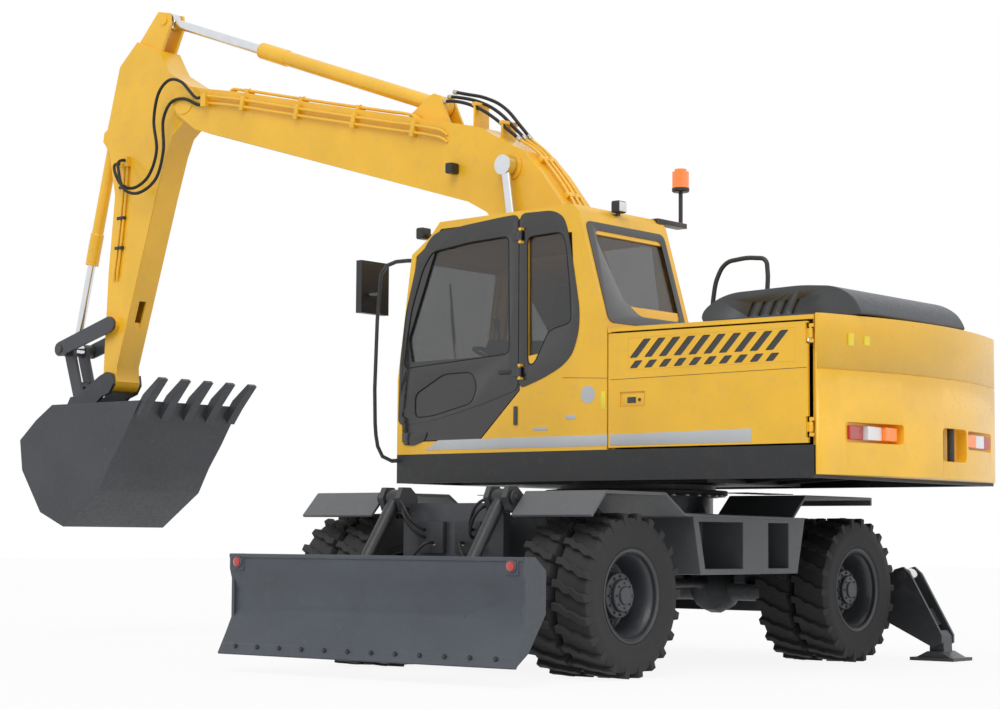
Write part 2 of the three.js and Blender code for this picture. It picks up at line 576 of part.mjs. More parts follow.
// Engine bay: front wall, right wall and roof plate with the opening for the hood; the left side is a door.
const HOOD = { x0: -2180, x1: -1180, y0: -520, y1: 900 };
const HOOD_PIN = { x: HOOD.x1 + 26, z: PANEL_TOP + 34 };
const HOOD_HINGES = [-300, 680];
const SIDE_DOOR_PIN = { x: -2205, y: HALF - 22 };
const SIDE_DOOR_HINGES = [1560, 2150];
function rightTank() {
  const top = [[1130, 1700], [930, 1980], [380, 1990], [300, 2180], [PANEL_FRONT - 10, 2200]];
  const outline = [[PANEL_FRONT - 10, DECK + GAP], [1130, DECK + GAP], ...top];
  const room = inset([[PANEL_FRONT - 10, 1300], [1130, 1300], ...top], 30);
  return slabY(outline, -HALF + 2, -540).subtract(slabY(room, -HALF + 32, -570));
}
function engineHousing() {
  const skin = 28;
  const outer = box(SEAM + GAP, PANEL_FRONT, -HALF, HALF, DECK + GAP, PANEL_TOP);
  const room = box(SEAM - 1, PANEL_FRONT - skin, -HALF + skin, HALF + 1, DECK - 1, PANEL_TOP - skin);
  const opening = box(HOOD.x0 + 40, HOOD.x1 - 40, HOOD.y0 + 40, HOOD.y1 - 40, PANEL_TOP - 60, PANEL_TOP + 1);
  const side = box(SEAM - 1, PANEL_FRONT + 1, HALF - 46, HALF + 1, DECK - 1, PANEL_TOP - skin - 4);
  const post = box(SEAM + GAP, SEAM + 30, 1100.6, HALF - 50, DECK + GAP, PANEL_TOP - 5);
  const rearWall = box(SEAM + GAP, SEAM + 20, -HALF, -1100.6, DECK + GAP, PANEL_TOP - 5);
  const doorPins = SIDE_DOOR_HINGES.map((z) => join(
    bar("z", 9, z - 30, z + 90, SIDE_DOOR_PIN.x, SIDE_DOOR_PIN.y, 20),
    box(SEAM + 4, SIDE_DOOR_PIN.x + 8, HALF - 60, SIDE_DOOR_PIN.y + 8, z - 30, z - 8),
    box(SEAM + 4, SIDE_DOOR_PIN.x + 8, HALF - 60, SIDE_DOOR_PIN.y + 8, z + 68, z + 90),
  ));
  const hoodPins = HOOD_HINGES.map((y) => join(
    bar("y", 9, y - 70, y + 70, HOOD_PIN.x, HOOD_PIN.z, 20),
    box(HOOD_PIN.x - 10, HOOD_PIN.x + 10, y - 70, y - 50, PANEL_TOP - 5, HOOD_PIN.z + 10),
    box(HOOD_PIN.x - 10, HOOD_PIN.x + 10, y + 50, y + 70, PANEL_TOP - 5, HOOD_PIN.z + 10),
  ));
  return outer.subtract(join(room, opening)).subtract(side).add(join(rightTank(), post, rearWall, ...doorPins, ...hoodPins));
}
piece(house, "right_body", engineHousing(), YELLOW);
piece(house, "engine_block", join(box(-2050, -1000, -560, 620, DECK + GAP, 2150), box(-1000, -880, -300, 400, 1600, 2050)), BLACK);

// The left side door turns on a post at its rear edge.
function sideDoor() {
  const leaf = box(-2196, PANEL_FRONT - 6, HALF - 22, HALF, DECK + 12, PANEL_TOP - 40);
  const latch = box(-947, -742, HALF - 10, HALF + 1, 1753, 1860);
  const louvre = box(-2105, -808, HALF - 8, HALF + 1, 2005, 2220);
  const knuckles = SIDE_DOOR_HINGES.map((z) => join(
    bar("z", 17, z, z + 60, SIDE_DOOR_PIN.x, SIDE_DOOR_PIN.y, 20),
    box(SIDE_DOOR_PIN.x, -2180, HALF - 30, HALF - 14, z, z + 60),
  ));
  const bores = SIDE_DOOR_HINGES.map((z) => bar("z", 9 + RUN, z - 1, z + 61, SIDE_DOOR_PIN.x, SIDE_DOOR_PIN.y, 20));
  const notches = SIDE_DOOR_HINGES.map((z) => box(-2200, SIDE_DOOR_PIN.x + 24, HALF - 40, HALF + 1, z - 36, z + 96));
  return leaf.subtract(join(latch, louvre, ...notches)).add(join(...knuckles)).subtract(join(...bores));
}
pivot(house, "side_door", SIDE_DOOR_PIN.x, SIDE_DOOR_PIN.y, 1800)("side_door_left", sideDoor(), YELLOW);

// ---------------------------------------------------------------- cab
const CAB_SIDE = [
  [1250, DECK + GAP], [1250, 2020], [1125, 2924], [953, 3040], [860, 3143], [-340, 3168], [-395, 3110],
  [-633, 2282], [-633, DECK + GAP],
];
const PANE = 8;

// A strip along the line from a to b, from `near` to `far` inside it, for cutting or filling a wall seen edge-on.
function strip(a, b, near, far) {
  const p = new THREE.Vector2(...a);
  const q = new THREE.Vector2(...b);
  const along = q.clone().sub(p).normalize();
  const inward = new THREE.Vector2(-along.y, along.x);
  const corner = (o, d) => {
    const c = o.clone().addScaledVector(inward, d);
    return [c.x, c.y];
  };
  return [corner(p, near), corner(q, near), corner(q, far), corner(p, far)];
}

const WINDSCREEN = { a: [1240, 2085], b: [1133, 2870], y0: CAB_RIGHT + 60, y1: HALF - 60 };
const REAR_GLASS = { a: [-437, 2965], b: [-578, 2474], y0: CAB_RIGHT + 70, y1: HALF - 80 };
const QUARTER = [[51, 3003], [-333, 2972], [-371, 2296], [-104, 2159], [45, 2138]];
const RIGHT_GLASS = [[1090, 2150], [1010, 2930], [900, 2980], [-300, 2990], [-340, 2700], [-420, 2180]];
const DOOR = [[123, 1905], [470, 1575], [1195, 1575], [1200, 1990], [1075, 2905], [925, 3010], [845, 3085], [123, 3095]];
const DOOR_GLASS = [[886, 2978], [230, 2990], [223, 2154], [1115, 2145], [1150, 2307]];
const DOOR_PIN = { x: 100, y: HALF + 26 };
const DOOR_HINGES = [2000, 2950];

function cabShell() {
  const outer = slabY(CAB_SIDE, CAB_RIGHT, HALF);
  const room = slabY(inset(CAB_SIDE, CAB_WALL), CAB_RIGHT + CAB_WALL, HALF - CAB_WALL);
  const cuts = join(
    slabY(strip(WINDSCREEN.a, WINDSCREEN.b, -60, 90), WINDSCREEN.y0, WINDSCREEN.y1),
    slabY(strip(REAR_GLASS.a, REAR_GLASS.b, -60, 90), REAR_GLASS.y0, REAR_GLASS.y1),
    slabY(QUARTER, HALF - 80, HALF + 1),
    slabY(RIGHT_GLASS, CAB_RIGHT - 1, CAB_RIGHT + 80),
    slabY(inset(DOOR, -7), HALF - 80, HALF + 1),
  );
  const hinges = DOOR_HINGES.map((z) => join(
    bar("z", 8, z - 24, z + 84, DOOR_PIN.x, DOOR_PIN.y, 16),
    box(DOOR_PIN.x - 18, DOOR_PIN.x + 6, HALF - 5, DOOR_PIN.y + 12, z - 24, z - 8),
    box(DOOR_PIN.x - 18, DOOR_PIN.x + 6, HALF - 5, DOOR_PIN.y + 12, z + 68, z + 84),
  ));
  return outer.subtract(room).subtract(cuts).add(join(...hinges));
}
piece(house, "cab_shell", cabShell(), YELLOW);

function cabDoor() {
  const leaf = slabY(DOOR, HALF - DOOR_WALL, HALF).subtract(slabY(DOOR_GLASS, HALF - 80, HALF + 1));
  const knuckles = DOOR_HINGES.map((z) => join(
    bar("z", 16, z, z + 60, DOOR_PIN.x, DOOR_PIN.y, 16),
    box(DOOR_PIN.x, 180, HALF + 6, HALF + 18, z, z + 60),
    box(135, 180, HALF - 5, HALF + 18, z, z + 60),
  ));
  const bores = DOOR_HINGES.map((z) => bar("z", 8 + RUN, z - 1, z + 61, DOOR_PIN.x, DOOR_PIN.y, 16));
  return leaf.add(join(...knuckles)).subtract(join(...bores));
}
const addDoor = pivot(house, "cab_door", DOOR_PIN.x, DOOR_PIN.y, 2300);
addDoor("cab_door", cabDoor(), BLACK);
addDoor("door_glass", slabY(inset(DOOR_GLASS, GAP), HALF - 24, HALF - 24 + PANE), GLASS);

piece(house, "windscreen", slabY(strip(WINDSCREEN.a, WINDSCREEN.b, 14, 14 + PANE).map(([x, z], i) => {
  const up = new THREE.Vector2(WINDSCREEN.b[0] - WINDSCREEN.a[0], WINDSCREEN.b[1] - WINDSCREEN.a[1]).setLength(GAP);
  const t = i === 0 || i === 3 ? 1 : -1;
  return [x + t * up.x, z + t * up.y];
}), WINDSCREEN.y0 + GAP, WINDSCREEN.y1 - GAP), GLASS);
piece(house, "rear_glass", slabY(strip(REAR_GLASS.a, REAR_GLASS.b, 14, 14 + PANE).map(([x, z], i) => {
  const up = new THREE.Vector2(REAR_GLASS.b[0] - REAR_GLASS.a[0], REAR_GLASS.b[1] - REAR_GLASS.a[1]).setLength(GAP);
  const t = i === 0 || i === 3 ? 1 : -1;
  return [x + t * up.x, z + t * up.y];
}), REAR_GLASS.y0 + GAP, REAR_GLASS.y1 - GAP), GLASS);
piece(house, "quarter_glass", slabY(inset(QUARTER, GAP), HALF - 24, HALF - 24 + PANE), GLASS);
piece(house, "right_glass", slabY(inset(RIGHT_GLASS, GAP), CAB_RIGHT + 16, CAB_RIGHT + 16 + PANE), GLASS);

// Seat with its consoles, levers and steering column, on the cab floor.
function seat() {
  const floor = DECK + GAP + CAB_WALL + GAP;
  const y = (CAB_RIGHT + HALF) / 2;
  const back = [[0, 2060], [90, 2060], [-10, 2720], [-90, 2720]];
  const head = [[-30, 2700], [40, 2700], [25, 2880], [-50, 2880]];
  const consoleSide = [[-60, 2180], [520, 2180], [560, 2240], [520, 2290], [-60, 2250]];
  return join(
    box(-60, 460, y - 190, y + 190, floor, 1900),
    box(-40, 500, y - 245, y + 245, 1890, 2070),
    slabY(back, y - 240, y + 240),
    slabY(head, y - 130, y + 130),
    ...pair((a, b) => slabY(consoleSide, a, b), y, 255, 365),
    ...pair((a, b) => box(60, 240, a, b, 1950, 2190), y, 240, 330),
    ...pair((a, b) => box(455, 495, a, b, 2260, 2430), y, 290, 330),
    box(-60, 900, y - 60, y + 60, floor, floor + 40),
    slabY([[760, floor], [900, floor], [800, 2200], [740, 2200]], y - 40, y + 40),
    slabY([[700, 2190], [830, 2140], [845, 2165], [715, 2215]], y - 180, y + 180),
  );
}
piece(house, "seat_console", seat(), SEAT);

// ---------------------------------------------------------------- engine hood, rail, beacon, mirror
const HOOD_SIDE = [[HOOD.x0, PANEL_TOP + 8], [HOOD.x1 - 34, PANEL_TOP + 8], [HOOD.x1 - 6, 2360], [HOOD.x1 - 40, 2500],
  [-1300, 2540], [-2150, 2545], [-2280, 2500], [-2390, 2400], [-2395, 2330], [HOOD.x0 - 10, 2330]];
function engineHood() {
  const shell = slabY(HOOD_SIDE, HOOD.y0, HOOD.y1)
    .subtract(slabY(inset(HOOD_SIDE, 22), HOOD.y0 + 22, HOOD.y1 - 22))
    .subtract(box(HOOD.x0 + 60, HOOD.x1 - 90, HOOD.y0 + 60, HOOD.y1 - 60, PANEL_TOP, PANEL_TOP + 60));
  const knuckles = HOOD_HINGES.map((y) => join(
    bar("y", 18, y - 42, y + 42, HOOD_PIN.x, HOOD_PIN.z, 20),
    box(HOOD.x1 - 30, HOOD_PIN.x, y - 42, y + 42, HOOD_PIN.z - 8, HOOD_PIN.z + 8),
  ));
  const bores = HOOD_HINGES.map((y) => bar("y", 9 + RUN, y - 43, y + 43, HOOD_PIN.x, HOOD_PIN.z, 20));
  return shell.add(join(...knuckles)).subtract(join(...bores));
}
const railLine = [[-1190, 750, 2440], [-1150, 750, 2480], [-1200, 750, 2600], [-1285, 750, 2760], [-1330, 750, 2778],
  [-1550, 750, 2770], [-1590, 750, 2740], [-1588, 750, 2530]];
const rail = tube(railLine, 16, 18, 6).subtract(slabY(inset(HOOD_SIDE, 6), HOOD.y0, HOOD.y1));
pivot(house, "hood", HOOD_PIN.x, 0, HOOD_PIN.z)("engine_hood", engineHood().add(rail), BLACK);

const aroundCab = () => slabY(inset(CAB_SIDE, -GAP), CAB_RIGHT, HALF + GAP);
const BEACON = { x: -350, y: -62, top: 3576 };
piece(house, "beacon", join(
  bar("z", 14, 3150, 3450, BEACON.x, BEACON.y, 12),
  box(BEACON.x - 28, BEACON.x + 60, BEACON.y - 40, CAB_RIGHT + 70, 3140, 3176),
  bar("z", 62, 3430, BEACON.top - 20, BEACON.x, BEACON.y, 16),
  bar("z", 45, BEACON.top - 25, BEACON.top, BEACON.x, BEACON.y, 16),
).subtract(aroundCab()), AMBER);

const mirrorLine = [[1225, 1190, 1440], [1275, 1300, 1440], [1300, 1370, 1530], [1300, 1370, 2700], [1290, 1350, 2820],
  [1240, 1260, 2880], [1120, 1150, 2890]];
const mirrorArm = [[1300, 1370, 2640], [1450, 1300, 2650], [1625, 1110, 2680]];
piece(house, "mirror_rail", join(
  tube(mirrorLine, 15, 22, 6),
  tube(mirrorArm, 12, 6, 6),
  box(1600, 1655, 940, 1240, 2533, 2923),
).subtract(aroundCab()).subtract(box(0, HOUSE_FRONT + GAP, 0, HALF + GAP, SKIRT_BOTTOM, DECK + 1)), BLACK);

// ---------------------------------------------------------------- boom
const BOOM_SIDE = [
  [4643, 4782], [4246, 4707], [2954, 4412], [1775, 4148], [1493, 4086], [1249, 3957], [1027, 3839], [874, 3677],
  [675, 3421], [400, 2700], [150, 1930], [250, 1760], [370, 1820], [900, 2600], [1250, 3200], [1399, 3403], [1592, 3504],
  [1768, 3554], [2773, 3837], [3776, 4125], [4718, 4428], [4967, 4600], [4985, 4760], [4880, 4840],
];
const FORK = { inner: 162, outer: BOOM_HALF };
const TIP_PIN_R = 50;
const BOOM_PORTS = { x0: 4520, x1: 4580, y: 110, z0: 4604, z1: 4716 };
const ARM_PORTS = { x0: 5610, x1: 5742, y: 30, z0: 4198, z1: 4284 };

function boom() {
  const shell = slabY(BOOM_SIDE, EQUIP_Y - BOOM_HALF, EQUIP_Y + BOOM_HALF)
    .subtract(slabY(inset(BOOM_SIDE, PLATE), EQUIP_Y - FORK.inner, EQUIP_Y + FORK.inner))
    .subtract(box(4540, 5100, EQUIP_Y - FORK.inner, EQUIP_Y + FORK.inner, 4200, 4900));
  const { x, z } = ARM_CYL_BASE;
  const ear = [[x - 180, z - 185], [x + 300, z - 90], [x + 60, z + 70], [x, z + 92], [x - 60, z + 70]];
  const solids = join(
    ...plates(ear, EQUIP_Y, 70, 94),
    bar("y", 40, EQUIP_Y - 84, EQUIP_Y + 84, x, z),
    ...discs(112, BOOM_CYL_EYE.x, BOOM_CYL_EYE.z, EQUIP_Y, BOOM_HALF - 10, BOOM_HALF + 14),
    ...discs(60, BOOM_CYL_EYE.x, BOOM_CYL_EYE.z, EQUIP_Y, BOOM_HALF, BOOM_HALF + 28),
    bar("y", 110, EQUIP_Y - BOOM_HALF, EQUIP_Y + BOOM_HALF, FOOT.x, FOOT.z),
    bar("y", TIP_PIN_R, EQUIP_Y - BOOM_HALF + 5, EQUIP_Y + BOOM_HALF - 5, TIP.x, TIP.z),
    ...discs(130, TIP.x, TIP.z, EQUIP_Y, FORK.inner, BOOM_HALF + 8),
    box(BOOM_PORTS.x0, BOOM_PORTS.x1, EQUIP_Y + FORK.inner, BOOM_PORTS.y, BOOM_PORTS.z0, BOOM_PORTS.z1),
  );
  return shell.add(solids).subtract(bar("y", FOOT_PIN + RUN, EQUIP_Y - 260, EQUIP_Y + 260, FOOT.x, FOOT.z));
}
pivot(house, "boom_lift", FOOT.x, EQUIP_Y, FOOT.z)("boom", boom(), YELLOW);

const BOOM_CYL = { r: 50, rod: 36, barrel: 1540, gland: 110, lug: 80, width: 104, pin: BASE_PIN_R, inside: 948, eye: 78, eyeWidth: 76 };
both((s) => cylinder(
  house,
  "boom_cyl_" + sideName(s),
  new THREE.Vector3(BOOM_CYL_BASE.x, EQUIP_Y + s * BOOM_CYL_OUT, BOOM_CYL_BASE.z),
  new THREE.Vector3(BOOM_CYL_EYE.x, EQUIP_Y + s * BOOM_CYL_OUT, BOOM_CYL_EYE.z),
  ALONG_Y,
  BOOM_CYL,
  YELLOW,
));

// ---------------------------------------------------------------- arm
const ARM_SIDE = [
  [5560, 5330], [5790, 5130], [5950, 4540], [5820, 3955], [5885, 3250], [5915, 2700], [5928, 2262], [5870, 2180],
  [5790, 2180], [5735, 2262], [5745, 2400], [5271, 3894], [5146, 4262], [5072, 4418], [4850, 4582], [4742, 4710],
  [4850, 4838], [5140, 5003], [5277, 5217],
];
const ROCKER_PIN_R = 42;
const BUCKET_PIN_R = 45;
const ARM_CYL_EARS = [66, 92];

function arm() {
  const wall = 20;
  const shell = slabY(ARM_SIDE, EQUIP_Y - ARM_HALF, EQUIP_Y + ARM_HALF)
    .subtract(slabY(inset(ARM_SIDE, wall), EQUIP_Y - ARM_HALF + wall, EQUIP_Y + ARM_HALF - wall));
  const topEar = [[5277, 5217], [5170, 5440], [5185, 5550], [5330, 5580], [5600, 5300], [5500, 5150]];
  const b = BUCKET_CYL_BASE;
  const lowEar = [[5850, b.z + 160], [5935, b.z + 120], [b.x + 50, b.z + 60], [b.x + 62, b.z - 20], [b.x + 20, b.z - 70],
    [5890, b.z - 230], [5850, b.z - 230]];
  const seat = bar("y", 84, EQUIP_Y - 60, EQUIP_Y + 60, b.x, b.z);
  const bossTip = bar("y", 128, EQUIP_Y - FORK.inner + SIDE, EQUIP_Y + FORK.inner - SIDE, TIP.x, TIP.z);
  const bossRocker = bar("y", 70, EQUIP_Y - 172, EQUIP_Y + 172, ROCKER_PIVOT.x, ROCKER_PIVOT.z);
  const bossBucket = bar("y", 92, EQUIP_Y - 136, EQUIP_Y + 136, BUCKET_PIVOT.x, BUCKET_PIVOT.z);
  const drain = box(5560, 5640, EQUIP_Y - 40, EQUIP_Y + 40, 2500, 3300);
  return shell.subtract(drain).subtract(seat).add(join(
    ...plates(topEar, EQUIP_Y, ARM_CYL_EARS[0], ARM_CYL_EARS[1]),
    ...discs(40, ARM_CYL_EYE.x, ARM_CYL_EYE.z, EQUIP_Y, ARM_CYL_EARS[1] - 5, ARM_CYL_EARS[1] + 14),
    ...plates(lowEar, EQUIP_Y, 60, 84),
    bar("y", 34, EQUIP_Y - 74, EQUIP_Y + 74, b.x, b.z),
    bossTip,
    bossRocker,
    bossBucket,
    box(ARM_PORTS.x0, ARM_PORTS.x1, EQUIP_Y + ARM_HALF - wall, ARM_PORTS.y, ARM_PORTS.z0, ARM_PORTS.z1),
  )).subtract(join(
    bar("y", TIP_PIN_R + RUN, EQUIP_Y - 200, EQUIP_Y + 200, TIP.x, TIP.z),
    bar("y", ROCKER_PIN_R + RUN, EQUIP_Y - 200, EQUIP_Y + 200, ROCKER_PIVOT.x, ROCKER_PIVOT.z),
    bar("y", BUCKET_PIN_R + RUN, EQUIP_Y - 200, EQUIP_Y + 200, BUCKET_PIVOT.x, BUCKET_PIVOT.z),
  ));
}
pivot(house, "arm", TIP.x, EQUIP_Y, TIP.z)("arm", arm(), YELLOW);

const ARM_CYL = { r: 62, rod: 42, barrel: 2169, gland: 320, lug: 84, width: 126, pin: 40, inside: 1348, eye: 76, eyeWidth: 90 };
cylinder(house, "arm_cyl", new THREE.Vector3(ARM_CYL_BASE.x, EQUIP_Y, ARM_CYL_BASE.z),
  new THREE.Vector3(ARM_CYL_EYE.x, EQUIP_Y, ARM_CYL_EYE.z), ALONG_Y, ARM_CYL, YELLOW);
const BUCKET_CYL = { r: 52, rod: 36, barrel: 1161, gland: 280, lug: 66, width: 108, pin: 34, inside: 860, eye: 66, eyeWidth: 96 };
cylinder(house, "bucket_cyl", new THREE.Vector3(BUCKET_CYL_BASE.x, EQUIP_Y, BUCKET_CYL_BASE.z),
  new THREE.Vector3(ROCKER_OUTER.x, EQUIP_Y, ROCKER_OUTER.z), ALONG_Y, BUCKET_CYL, YELLOW);

// ---------------------------------------------------------------- rocker, link, bucket
const ROCKER_PLATES = [178, 202];
const EAR_PLATES = [142, 172];
const LINK_PIN_R = 40;

// A bar with round ends between two pins, in X and Z.
function dogbone(p, q, rp, rq, steps = 6) {
  const angle = Math.atan2(q.z - p.z, q.x - p.x);
  const out = [];
  const arc = (c, r, from) => {
    for (let i = 0; i <= steps; i += 1) {
      const t = from + (Math.PI * i) / steps;
      out.push([c.x + r * Math.cos(t), c.z + r * Math.sin(t)]);
    }
  };
  arc(q, rq, angle - Math.PI / 2);
  arc(p, rp, angle + Math.PI / 2);
  return out;
}

const rocker = join(
  ...plates(dogbone(ROCKER_PIVOT, ROCKER_OUTER, 72, 66), EQUIP_Y, ROCKER_PLATES[0], ROCKER_PLATES[1]),
  bar("y", ROCKER_PIN_R, EQUIP_Y - 190, EQUIP_Y + 190, ROCKER_PIVOT.x, ROCKER_PIVOT.z),
  ...discs(40, ROCKER_OUTER.x, ROCKER_OUTER.z, EQUIP_Y, ROCKER_PLATES[1] - 5, ROCKER_PLATES[1] + 12),
);
pivot(house, "rocker", ROCKER_PIVOT.x, EQUIP_Y, ROCKER_PIVOT.z)("rocker_links", rocker, GREY);

const linkMiddle = {
  x: (ROCKER_OUTER.x * 0.35 + BUCKET_LINK.x * 0.65),
  z: (ROCKER_OUTER.z * 0.35 + BUCKET_LINK.z * 0.65),
};
const pushLink = join(
  ...plates(dogbone(ROCKER_OUTER, BUCKET_LINK, 64, 58), EQUIP_Y, 62, 92),
  ...discs(62, ROCKER_OUTER.x, ROCKER_OUTER.z, EQUIP_Y, 62, 171),
  bar("y", 60, EQUIP_Y - 134, EQUIP_Y + 134, BUCKET_LINK.x, BUCKET_LINK.z),
  bar("y", 45, EQUIP_Y - 80, EQUIP_Y + 80, linkMiddle.x, linkMiddle.z, 12),
).subtract(bar("y", LINK_PIN_R + RUN, EQUIP_Y - 200, EQUIP_Y + 200, BUCKET_LINK.x, BUCKET_LINK.z));
pivot(house, "push_link", BUCKET_LINK.x, EQUIP_Y, BUCKET_LINK.z)("push_link", pushLink, GREY);

const BUCKET_SIDE = [
  [4910, 2042], [5131, 1705], [5285, 1499], [5418, 1274], [5887, 960], [6205, 1088], [6470, 1466], [6509, 1736],
  [6291, 1910], [6075, 2040],
];
const TEETH = 5;

function bucket() {
  const hollow = inset(BUCKET_SIDE, BUCKET_PLATE);
  hollow[0] = [hollow[0][0] + 20, 2300];
  hollow[hollow.length - 1] = [6075, 2300];
  hollow.splice(hollow.length - 1, 0, [6045, 2010]);
  const shell = slabY(BUCKET_SIDE, EQUIP_Y - BUCKET_HALF, EQUIP_Y + BUCKET_HALF)
    .subtract(slabY(hollow, EQUIP_Y - BUCKET_HALF + BUCKET_PLATE, EQUIP_Y + BUCKET_HALF - BUCKET_PLATE));
  const ear = [[5745, 2240], [5760, 2330], [5840, 2352], [5930, 2320], [6240, 2150], [6330, 2140], [6372, 2070],
    [6430, 1780], [6320, 1860], [6060, 2010], [5900, 2130], [5800, 2160]];
  const teeth = [];
  for (let i = 0; i < TEETH; i += 1) {
    const y = EQUIP_Y - BUCKET_HALF + 60 + (i * (2 * BUCKET_HALF - 120)) / (TEETH - 1);
    teeth.push(slabY([[4990, 1945], [4925, 2050], [4890, 2095], [4700, 2235], [4672, 2215], [4850, 2020], [4955, 1885]], y - 45, y + 45));
  }
  return join(
    shell,
    ...plates(ear, EQUIP_Y, EAR_PLATES[0], EAR_PLATES[1]),
    bar("y", BUCKET_PIN_R, EQUIP_Y - 160, EQUIP_Y + 160, BUCKET_PIVOT.x, BUCKET_PIVOT.z),
    bar("y", LINK_PIN_R, EQUIP_Y - 160, EQUIP_Y + 160, BUCKET_LINK.x, BUCKET_LINK.z),
    ...teeth,
  );
}
pivot(house, "bucket", BUCKET_PIVOT.x, EQUIP_Y, BUCKET_PIVOT.z)("bucket", bucket(), GREY);

// ---------------------------------------------------------------- free hoses, from the boom's ports to the arm's
const HOSE = { r: 14, steps: 34, gap: 0.3 };
const HOSE_UPPER = [
  [BOOM_PORTS.x1 + HOSE.gap, 90, 4690], [4650, 90, 4690], [4853, 94, 4860], [5000, 96, 4890], [5125, 98, 4800],
  [5185, 100, 4558], [5140, 102, 4267], [5243, 106, 4050], [5430, 112, 3968], [5580, 118, 4012], [5667, 120, 4136],
  [5700, 98, 4200], [5711, 60, 4222], [5712, 42, 4225], [5712, ARM_PORTS.y + HOSE.gap, 4225],
];
const HOSE_LOWER = [
  [BOOM_PORTS.x1 + HOSE.gap, 62, 4632], [4650, 62, 4632], [4850, 64, 4712], [5005, 66, 4694], [5095, 68, 4560],
  [5085, 72, 4263], [5165, 92, 4015], [5350, 132, 3912], [5510, 152, 3966], [5585, 150, 4143], [5622, 122, 4215],
  [5639, 62, 4248], [5640, 42, 4250], [5640, ARM_PORTS.y + HOSE.gap, 4250],
];
piece(house, "hose_upper", tube(HOSE_UPPER, HOSE.r, HOSE.steps), RUBBER);
piece(house, "hose_lower", tube(HOSE_LOWER, HOSE.r, HOSE.steps), RUBBER);

export default machine;
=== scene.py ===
"""A wheeled excavator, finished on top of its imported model. Lengths are metres."""
import sys

import json
from math import cos, pi, radians, sin

